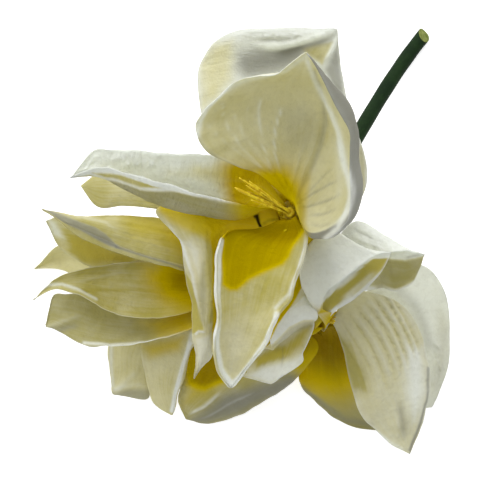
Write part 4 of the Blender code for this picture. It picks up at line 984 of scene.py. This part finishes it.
def make_petal(bloom_name, slot, materials):
    """One petal of thin cloth: pleated, ruffled at its margins, with its colours' shares at each point."""
    key = f"{bloom_name}_{slot + 1}"
    node = f"petal_{key}"
    look = LOOKS[key]
    random_numbers = random.Random(node)
    grid, stations, sides = petal_grid(BLOOMS[bloom_name], slot, PETALS[key], look)
    along, across = stations[:, None], sides[None, :]
    x, y = seen(grid)
    normals = inner_normals(grid)
    upward = np.where(normals[..., 2] < 0, -1.0, 1.0)
    middle = np.argmin(np.abs(sides))
    wider = window(along, SPREAD_RISE, SPREAD_FALL, np.where(across < 0, *look.spread))
    grid = grid + (grid - grid[:, middle : middle + 1]) * wider[..., None]
    edge = window(np.abs(across), EDGE_RISE, EDGE_FALL) * smooth(along, *EDGE_START)
    relief = pleat_relief(look, along, across, random_numbers)
    relief = relief + ruffle_relief(look, along, across, random_numbers)
    relief = relief - EDGE_SINK * edge
    for size, height in CRUMPLES:
        relief = relief + height * uneven(grid, size) * smooth(along, *CRUMPLE_START)
    crinkles = uneven(grid, CRINKLE_SIZE)
    relief = relief + CRINKLE_HEIGHT * look.crinkle * crinkles * smooth(along, *CRINKLE_START)
    flat = 0 * along + 0 * across
    shares = {
        "along": along + flat,
        "across": np.clip(across, -1, 1) + flat,
        "gold": gold_share(look, along, across),
        # The cloth's yellow, fading from the claw; at high values it turns olive as painted shade.
        "warm": look.warm * (WARM_AT_CLAW - WARM_FADE * along) + flat,
        # Painted highlight: per petal for its lit faces, and along its margins where rims catch the light.
        "pale": look.pale + EDGE_PALE * edge + flat,
        # Painted shade, set per petal and strongest on its rolled rims.
        "grey": look.grey + look.rim * (np.abs(across) > 1) + flat,
        # Painted shadow, from the marks.
        "dark": flat,
        "crinkle": look.crinkle + flat,
    }
    for mark in MARKS.get(key, ()):
        share = mark_share(mark, x, y)
        relief = relief + share * mark.lift * (1 + mark.crinkled * crinkles) * upward
        for name in ("gold", "warm", "pale", "grey", "dark"):
            shares[name] = shares[name] + share * getattr(mark, name)
    shares["gold"] = np.minimum(shares["gold"], look.richest)
    grid = grid + normals * relief[..., None]
    grid[..., 2] = np.maximum(grid[..., 2], FLAT)
    vertices = np.concatenate([grid[:-1].reshape(-1, 3), grid[-1:, middle]]) - BOX_CENTRE
    mesh = bpy.data.meshes.new(node + "_cloth")
    mesh.from_pydata([tuple(v) for v in vertices * MM], [], petal_faces(len(stations) - 1, len(sides) - 1))
    mesh.shade_smooth()
    for name, values in shares.items():
        attribute = mesh.attributes.new(name, "FLOAT", "POINT")
        values = np.concatenate([values[:-1].ravel(), values[-1:, middle]])
        attribute.data.foreach_set("value", values.astype(np.float32))
    for material in materials:
        mesh.materials.append(material)
    cloth = add_object(node + "_cloth", mesh)
    solidify = cloth.modifiers.new("thickness", "SOLIDIFY")
    solidify.thickness = CLOTH_THICKNESS * MM
    solidify.offset = 0
    solidify.use_rim = True
    solidify.material_offset = 1
    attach(cloth, "root")
    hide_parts(node)


class Nodes:
    """Short ways to build a material's node tree."""

    def __init__(self, name):
        self.material = bpy.data.materials.new(name)
        self.material.use_nodes = True
        self.tree = self.material.node_tree
        self.tree.nodes.clear()

    def add(self, kind, inputs=None, **settings):
        """A node whose inputs are linked to other nodes' sockets, or set to plain numbers and colours."""
        node = self.tree.nodes.new(kind)
        for key, value in settings.items():
            setattr(node, key, value)
        for key, source in (inputs or {}).items():
            if isinstance(source, bpy.types.NodeSocket):
                self.tree.links.new(source, node.inputs[key])
            else:
                node.inputs[key].default_value = source
        return node

    def place(self):
        return self.add("ShaderNodeTexCoord").outputs["Object"]

    def attribute(self, name):
        return self.add("ShaderNodeAttribute", attribute_name=name).outputs["Fac"]

    def math(self, operation, *sources):
        return self.add("ShaderNodeMath", dict(enumerate(sources)), operation=operation).outputs[0]

    def mix(self, share, first, second, blend="MIX"):
        inputs = {"Factor": share, 6: first, 7: second}
        return self.add("ShaderNodeMix", inputs, data_type="RGBA", blend_type=blend).outputs[2]

    def vector(self, x, y):
        return self.add("ShaderNodeCombineXYZ", {"X": x, "Y": y}).outputs[0]

    def noise(self, place, scale, detail, roughness):
        inputs = {"Vector": place, "Scale": scale, "Detail": detail, "Roughness": roughness}
        return self.add("ShaderNodeTexNoise", inputs).outputs["Fac"]

    def step(self, source, low, high, to_low=0.0, to_high=1.0):
        inputs = {"Value": source, "From Min": low, "From Max": high, "To Min": to_low, "To Max": to_high}
        return self.add("ShaderNodeMapRange", inputs, interpolation_type="SMOOTHSTEP").outputs["Result"]

    def skin(self, tint, height, bump, roughness, shine):
        """A shader with a bump that follows height. bump is its strength and distance."""
        inputs = {"Strength": bump[0], "Distance": bump[1], "Height": height}
        normal = self.add("ShaderNodeBump", inputs).outputs["Normal"]
        inputs = {"Base Color": tint, "Roughness": roughness, "Specular IOR Level": shine, "Normal": normal}
        return self.add("ShaderNodeBsdfPrincipled", inputs)

    def finish(self, shader):
        self.add("ShaderNodeOutputMaterial", {"Surface": shader.outputs[0]})
        return self.material


def colour(red, green, blue):
    """A colour from its shares as seen on a screen."""
    return (*((c / 12.92) if c <= 0.04045 else ((c + 0.055) / 1.055) ** 2.4 for c in (red, green, blue)), 1.0)


# The cloth's own white, also mixed in again as painted highlight.
WHITE = colour(0.953, 0.957, 0.958)
CREAM = colour(0.90, 0.88, 0.745)
# Yellow cloth as it looks in shade: painted shade.
OLIVE = colour(0.79, 0.752, 0.42)
# Painted shade: mixed in where the cloth faces away from the light, in creases and on rolled rims.
GREY = colour(0.605, 0.60, 0.56)
GOLD = colour(0.86, 0.775, 0.0)
# The dye's richest gold, also standing for gold cloth in shade: partly painted shade.
DEEP_GOLD = colour(0.65, 0.54, 0.0)
# Painted shadow: near black in gaps between petals and the hollows of the throat.
DARK = colour(0.16, 0.12, 0.03)
DEEP_GREY = colour(0.60, 0.58, 0.47)
GLOW = colour(0.96, 0.967, 0.85)
CUP_GREENS = (colour(0.60, 0.60, 0.24), colour(0.74, 0.72, 0.40))
THREAD_YELLOWS = (colour(0.76, 0.62, 0.0), colour(0.92, 0.84, 0.18))
STEM_GREENS = (colour(0.07, 0.14, 0.06), colour(0.11, 0.19, 0.08))
CUT_GREENS = (colour(0.33, 0.38, 0.07), colour(0.52, 0.54, 0.28))


def petal_material(name, gold_depth):
    """Cloth petals: white to cream, golden at the base, with faint streaks and a crinkled weave, and with painted
    shade, shadow and highlights mixed into the colour.
    """
    n = Nodes(name)
    along, across, place = n.attribute("along"), n.attribute("across"), n.place()
    streaks, crinkle = (
        n.noise(n.vector(n.math("MULTIPLY", across, x), n.math("MULTIPLY", along, y)), *kind)
        for (x, y), kind in ((STREAK_STRETCH, STREAK_NOISE), (CRINKLE_STRETCH, CRINKLE_NOISE))
    )
    cloud, speckle, weave = (n.noise(place, *kind) for kind in (CLOUD_NOISE, SPECKLE_NOISE, WEAVE_NOISE))
    gold = n.math("MULTIPLY", n.attribute("gold"), n.step(streaks, *GOLD_BY_STREAK))
    gold = n.math("MULTIPLY", gold, gold_depth)
    warm = n.math("MULTIPLY", n.attribute("warm"), n.step(cloud, *WARM_BY_CLOUD))
    warm = n.math("MULTIPLY", warm, n.step(streaks, *WARM_BY_STREAK))
    cloth = n.mix(n.step(warm, *CREAM_STEP), WHITE, CREAM)
    for share, tint in (
        # Olive where the yellow share is high: painted shade.
        (n.step(warm, *OLIVE_STEP), OLIVE),
        # Painted shade.
        (n.step(n.attribute("grey"), *WHOLE_STEP), GREY),
        # Painted highlight.
        (n.step(n.attribute("pale"), *WHOLE_STEP), WHITE),
        (n.step(speckle, *SPECKLE_STEP), DEEP_GREY),
        (n.step(gold, *GOLD_STEP), GOLD),
        # Deeper gold where the gold share is high: partly painted shade.
        (n.step(gold, *DEEP_GOLD_STEP), DEEP_GOLD),
        # Painted shadow.
        (n.step(n.attribute("dark"), *WHOLE_STEP), DARK),
    ):
        cloth = n.mix(share, cloth, tint)
    height = n.math("MULTIPLY_ADD", weave, WEAVE_SHARE, n.math("MULTIPLY", crinkle, n.attribute("crinkle")))
    front = n.skin(cloth, height, CLOTH_BUMP, roughness=0.6, shine=0.25)
    n.tree.links.new(cloth, front.inputs["Specular Tint"])
    shine_through = n.mix(GLOW_SHARE, cloth, n.mix(1.0, cloth, GLOW, "MULTIPLY"))
    back = n.add("ShaderNodeBsdfTranslucent", {"Color": shine_through})
    return n.finish(n.add("ShaderNodeMixShader", {"Fac": TRANSLUCENCY, 1: front.outputs[0], 2: back.outputs[0]}))


def plain_material(name, colours, scale, roughness, shine=0.3):
    """A solid material with two mottled colours."""
    n = Nodes(name)
    cloud = n.noise(n.place(), scale, *MOTTLE_DETAIL)
    tint = n.mix(n.step(cloud, *MOTTLE_STEP), *colours)
    return n.finish(n.skin(tint, cloud, MOTTLE_BUMP, roughness, shine))


def cup_material():
    """The cups: golden in the throat, where the darker gold is partly painted shade, and light green towards the
    neck.
    """
    n = Nodes("cup_skin")
    cloud = n.noise(n.place(), CUP_SCALE, *MOTTLE_DETAIL)
    mottle = n.step(cloud, *MOTTLE_STEP)
    throat, neck = n.mix(mottle, DEEP_GOLD, GOLD), n.mix(mottle, *CUP_GREENS)
    tint = n.mix(n.step(n.attribute("neck"), *NECK_STEP), throat, neck)
    return n.finish(n.skin(tint, cloud, MOTTLE_BUMP, roughness=0.6, shine=0.5))


def rod_mesh(name, points, radii, resolution):
    """The mesh of a round closed solid along points, as thick at each one as radii say."""
    curve = bpy.data.curves.new(name, "CURVE")
    curve.dimensions = "3D"
    curve.bevel_depth = MM
    curve.bevel_resolution = resolution
    curve.use_fill_caps = True
    spline = curve.splines.new("POLY")
    spline.points.add(len(points) - 1)
    for knot, point, radius in zip(spline.points, points, radii):
        knot.co = (*((np.asarray(point) - BOX_CENTRE) * MM), 1)
        knot.radius = radius
    drawn = add_object(name, curve)
    mesh = bpy.data.meshes.new_from_object(drawn.evaluated_get(bpy.context.evaluated_depsgraph_get()))
    bpy.data.objects.remove(drawn)
    return mesh


def gather(name, meshes, material, node):
    """One piece of several closed solids, in place of a CAD node."""
    bm = bmesh.new()
    for mesh in meshes:
        bm.from_mesh(mesh)
        bpy.data.meshes.remove(mesh)
    bmesh.ops.remove_doubles(bm, verts=bm.verts[:], dist=WELD)
    joined = bpy.data.meshes.new(name)
    bm.to_mesh(joined)
    bm.free()
    joined.materials.append(material)
    joined.shade_smooth()
    piece = add_object(name, joined)
    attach(piece, "root")
    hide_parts(node)
    return piece


def thread_path(bloom, azimuth, reach, spread):
    """The middle line of one stamen, which reaches this share of its bundle's curve."""
    axis, throat = unit(bloom.axis), np.asarray(bloom.throat, float)
    offset = round_axis(axis, azimuth) * FILAMENT_SPREAD * FOOT_SPREAD
    middle, end = placed(bloom.threads[0]), placed(bloom.threads[1])
    fan = round_axis(unit(end - middle), azimuth * 2) * FILAMENT_SPREAD * FAN_SPREAD * spread
    start = throat + offset + axis * (OVARY_HEIGHT * THREAD_SINK)
    lift = throat + offset + axis * (OVARY_HEIGHT + THREAD_RISE)
    points = (start, lift, middle + fan * FAN_AT_MIDDLE, end + fan)
    return bezier(points, np.linspace(0, reach, THREAD_STEPS + 1))


def make_stamens(bloom_name, material):
    """The threads of one bloom on their boss: six with anthers, and finer ones between them."""
    bloom = BLOOMS[bloom_name]
    axis, throat = unit(bloom.axis), np.asarray(bloom.throat, float)
    foot = throat + axis * JOINT_GAP
    boss = np.array(BOSS_PROFILE) * (OVARY_HEIGHT, OVARY_RADIUS)
    meshes = [rod_mesh("boss", [foot + axis * height for height in boss[:, 0]], boss[:, 1], BOSS_ROUNDING)]
    numbers = random.Random("threads " + bloom_name)
    for k in range(THREADS):
        if k < THICK_THREADS:
            azimuth = math.pi * 2 * k / THICK_THREADS + THICK_START
            path = thread_path(bloom, azimuth, THICK_REACH + wave(k, *REACH_SWING), THICK_SPREAD)
            radii = np.full(len(path), FILAMENT_RADIUS)
            radii[-len(ANTHER_PROFILE) :] = ANTHER_RADIUS * np.array(ANTHER_PROFILE)
        else:
            azimuth, reach = numbers.uniform(0, WHOLE_TURN), numbers.uniform(*FINE_REACH)
            path = thread_path(bloom, azimuth, reach, numbers.uniform(*FINE_SPREAD))
            radii = np.full(len(path), FILAMENT_RADIUS * FINE_FILAMENT)
        meshes.append(rod_mesh("thread", path, radii, THREAD_ROUNDING))
    gather(f"stamens_{bloom_name}_fine", meshes, material, f"stamens_{bloom_name}")


def make_tube(bloom_name, material):
    """One flower's cup, with six shallow ribs that run on from its petals and a lip under their claws."""
    bloom = BLOOMS[bloom_name]
    axis, throat = unit(bloom.axis), np.asarray(bloom.throat, float)
    shares = np.linspace(0, 1, TUBE_STATIONS)
    points = [throat - axis * TUBE_LENGTH * (1 - k) for k in shares]
    radii = [TUBE_NECK + (TUBE_RADIUS - TUBE_NECK) * math.sin(k * math.pi / 2) for k in shares]
    mesh = rod_mesh("tube", points, radii, TUBE_ROUNDING)
    centre = (throat - BOX_CENTRE) * MM
    for vertex in mesh.vertices:
        out = np.asarray(vertex.co) - centre
        depth = out @ axis
        radial = out - axis * depth
        if np.linalg.norm(radial) > 1e-6:
            level = radial @ round_axis(axis, 0.0)
            azimuth = math.atan2(radial @ round_axis(axis, math.pi / 2), level)
            rib = math.cos(PETALS_A_BLOOM * (azimuth - math.radians(bloom.turn)))
            radial = radial * (1 - RIB_DEPTH + RIB_DEPTH * rib)
            vertex.co = Vector(centre + axis * depth + radial)
    heights, widths = CUP_LIP
    lip = rod_mesh("lip", [throat + axis * height for height in heights], widths, TUBE_ROUNDING)
    cup = gather(f"tube_{bloom_name}_fine", [mesh, lip], material, f"tube_{bloom_name}")
    share = cup.data.attributes.new("neck", "FLOAT", "POINT")
    depths = [-((np.asarray(v.co) - centre) @ axis) / (TUBE_LENGTH * MM) for v in cup.data.vertices]
    share.data.foreach_set("value", np.array(depths, np.float32))


def stalk_path(bloom):
    """The middle line of the stalk from the knob to one bloom's cup."""
    umbel, axis = np.asarray(UMBEL, float), unit(bloom.axis)
    neck = np.asarray(bloom.throat, float) - axis * (TUBE_LENGTH + JOINT_GAP)
    out = unit(neck - umbel)
    end = neck - axis * STALK_NECK
    first, last = STALK_ENDS
    path = bezier((umbel, umbel + out * first, end - axis * last, end), np.linspace(0, 1, STALK_STEPS + 1))
    return np.concatenate([path, [neck]])


def make_stem(material, cut_material):
    """The stem with its knob and stalks in one smooth skin, cut on a slant."""
    path = bezier((UMBEL, *STEM_BEND, STEM_FOOT), np.linspace(0, 1, STEM_STEPS + 1))
    past = path[-1] + unit(np.subtract(STEM_FOOT, STEM_BEND[1])) * CUT_MARGIN
    path = np.concatenate([path, [past]])
    depth, turns = STEM_WAVES
    radii = STEM_RADIUS * (1 + depth * np.sin(np.linspace(0, turns, len(path))))
    meshes = [rod_mesh("stem", path, radii, STEM_ROUNDING)]
    for bloom in BLOOMS.values():
        stalk = stalk_path(bloom)
        widths = np.linspace(PEDICEL_RADIUS, PEDICEL_RADIUS * STALK_FLARE, len(stalk))
        meshes.append(rod_mesh("stalk", stalk, widths, STALK_ROUNDING))
    knob = bmesh.new()
    bmesh.ops.create_icosphere(knob, subdivisions=4, radius=KNOB_RADIUS * MM)
    bmesh.ops.translate(knob, verts=knob.verts[:], vec=Vector((np.asarray(UMBEL) - BOX_CENTRE) * MM))
    ball = bpy.data.meshes.new("knob")
    knob.to_mesh(ball)
    knob.free()
    stem = gather("stem_skin", [*meshes, ball], material, "stem")
    remesh = stem.modifiers.new("skin", "REMESH")
    remesh.mode = "VOXEL"
    remesh.voxel_size = SKIN_VOXEL * MM
    stem.modifiers.new("soften", "SMOOTH").iterations = SKIN_SOFTENING
    mesh = bpy.data.meshes.new_from_object(stem.evaluated_get(bpy.context.evaluated_depsgraph_get()))
    stem.modifiers.clear()
    stem.data = mesh
    mesh.materials.clear()
    mesh.materials.append(material)
    mesh.materials.append(cut_material)
    bm = bmesh.new()
    bm.from_mesh(mesh)
    geometry = bm.verts[:] + bm.edges[:] + bm.faces[:]
    place = Vector((np.asarray(STEM_FOOT) - BOX_CENTRE) * MM)
    cut = bmesh.ops.bisect_plane(bm, geom=geometry, plane_co=place, plane_no=Vector(CUT_NORMAL), clear_outer=True)
    rim = [edge for edge in cut["geom_cut"] if isinstance(edge, bmesh.types.BMEdge)]
    end = bmesh.ops.contextual_create(bm, geom=rim)
    for face in bm.faces:
        face.smooth = True
    for face in end["faces"]:
        face.smooth = False
        face.material_index = 1
    bm.to_mesh(mesh)
    bm.free()


def make_floor():
    mesh = bpy.data.meshes.new("floor")
    corners = [(x * FLOOR_HALF, y * FLOOR_HALF, FLOOR_HEIGHT) for x, y in ((-1, -1), (1, -1), (1, 1), (-1, 1))]
    mesh.from_pydata(corners, [], [(0, 1, 2, 3)])
    floor = add_object("floor", mesh)
    n = Nodes("floor_white")
    inputs = {
        "Base Color": (FLOOR_WHITE, FLOOR_WHITE, FLOOR_WHITE, 1),
        "Roughness": FLOOR_ROUGHNESS,
        "Specular IOR Level": 0.0,
        "Emission Color": (1, 1, 1, 1),
        "Emission Strength": FLOOR_GLOW,
    }
    mesh.materials.append(n.finish(n.add("ShaderNodeBsdfPrincipled", inputs)))


def make_light(name, place, size, power):
    light = bpy.data.lights.new(name, "AREA")
    light.shape = "DISK"
    light.size = size
    light.energy = power
    light.color = LAMP_TINT
    lamp = add_object(name, light)
    lamp.location = place
    lamp.rotation_euler = (Vector(LAMP_TARGET) - Vector(place)).to_track_quat("-Z", "Y").to_euler()


def make_world():
    world = bpy.data.worlds.new("studio")
    world.use_nodes = True
    background = world.node_tree.nodes["Background"]
    background.inputs["Color"].default_value = WORLD_TINT
    background.inputs["Strength"].default_value = WORLD_STRENGTH
    bpy.context.scene.world = world


def make_camera():
    """A camera straight above the place that the flower was drawn round, with the stem to the upper right."""
    lens = bpy.data.cameras.new("camera")
    lens.sensor_width = SENSOR_MM
    lens.lens = SENSOR_MM * PIXELS_PER_SLOPE / FRAME_PIXELS
    lens.clip_start = CLIP_START
    camera = add_object("camera", lens)
    camera.location = (np.array((0, 0, VIEW_HEIGHT)) - BOX_CENTRE) * MM
    bpy.context.scene.camera = camera


def set_colours():
    view = bpy.context.scene.view_settings
    view.view_transform = "Standard"
    view.look = "None"
    view.exposure = 0.0


def main():
    cloth = (petal_material("petal_inner", gold_depth=1.0), petal_material("petal_outer", gold_depth=0.9))
    for bloom_name in BLOOMS:
        for slot in range(PETALS_A_BLOOM):
            make_petal(bloom_name, slot, cloth)
    yellow = plain_material("thread_gold", THREAD_YELLOWS, scale=420.0, roughness=0.5)
    cup = cup_material()
    green = plain_material("stem_green", STEM_GREENS, scale=90.0, roughness=0.7, shine=0.1)
    cut = plain_material("stem_cut", CUT_GREENS, scale=350.0, roughness=0.8)
    for bloom_name in BLOOMS:
        make_stamens(bloom_name, yellow)
        make_tube(bloom_name, cup)
    make_stem(green, cut)
    make_floor()
    make_camera()
    make_world()
    make_light("key", KEY_PLACE, KEY_SIZE, KEY_POWER)
    for index, (place, size, power) in enumerate(SIDE_LIGHTS):
        make_light(f"side_{index + 1}", place, size, power)
    set_colours()


main()
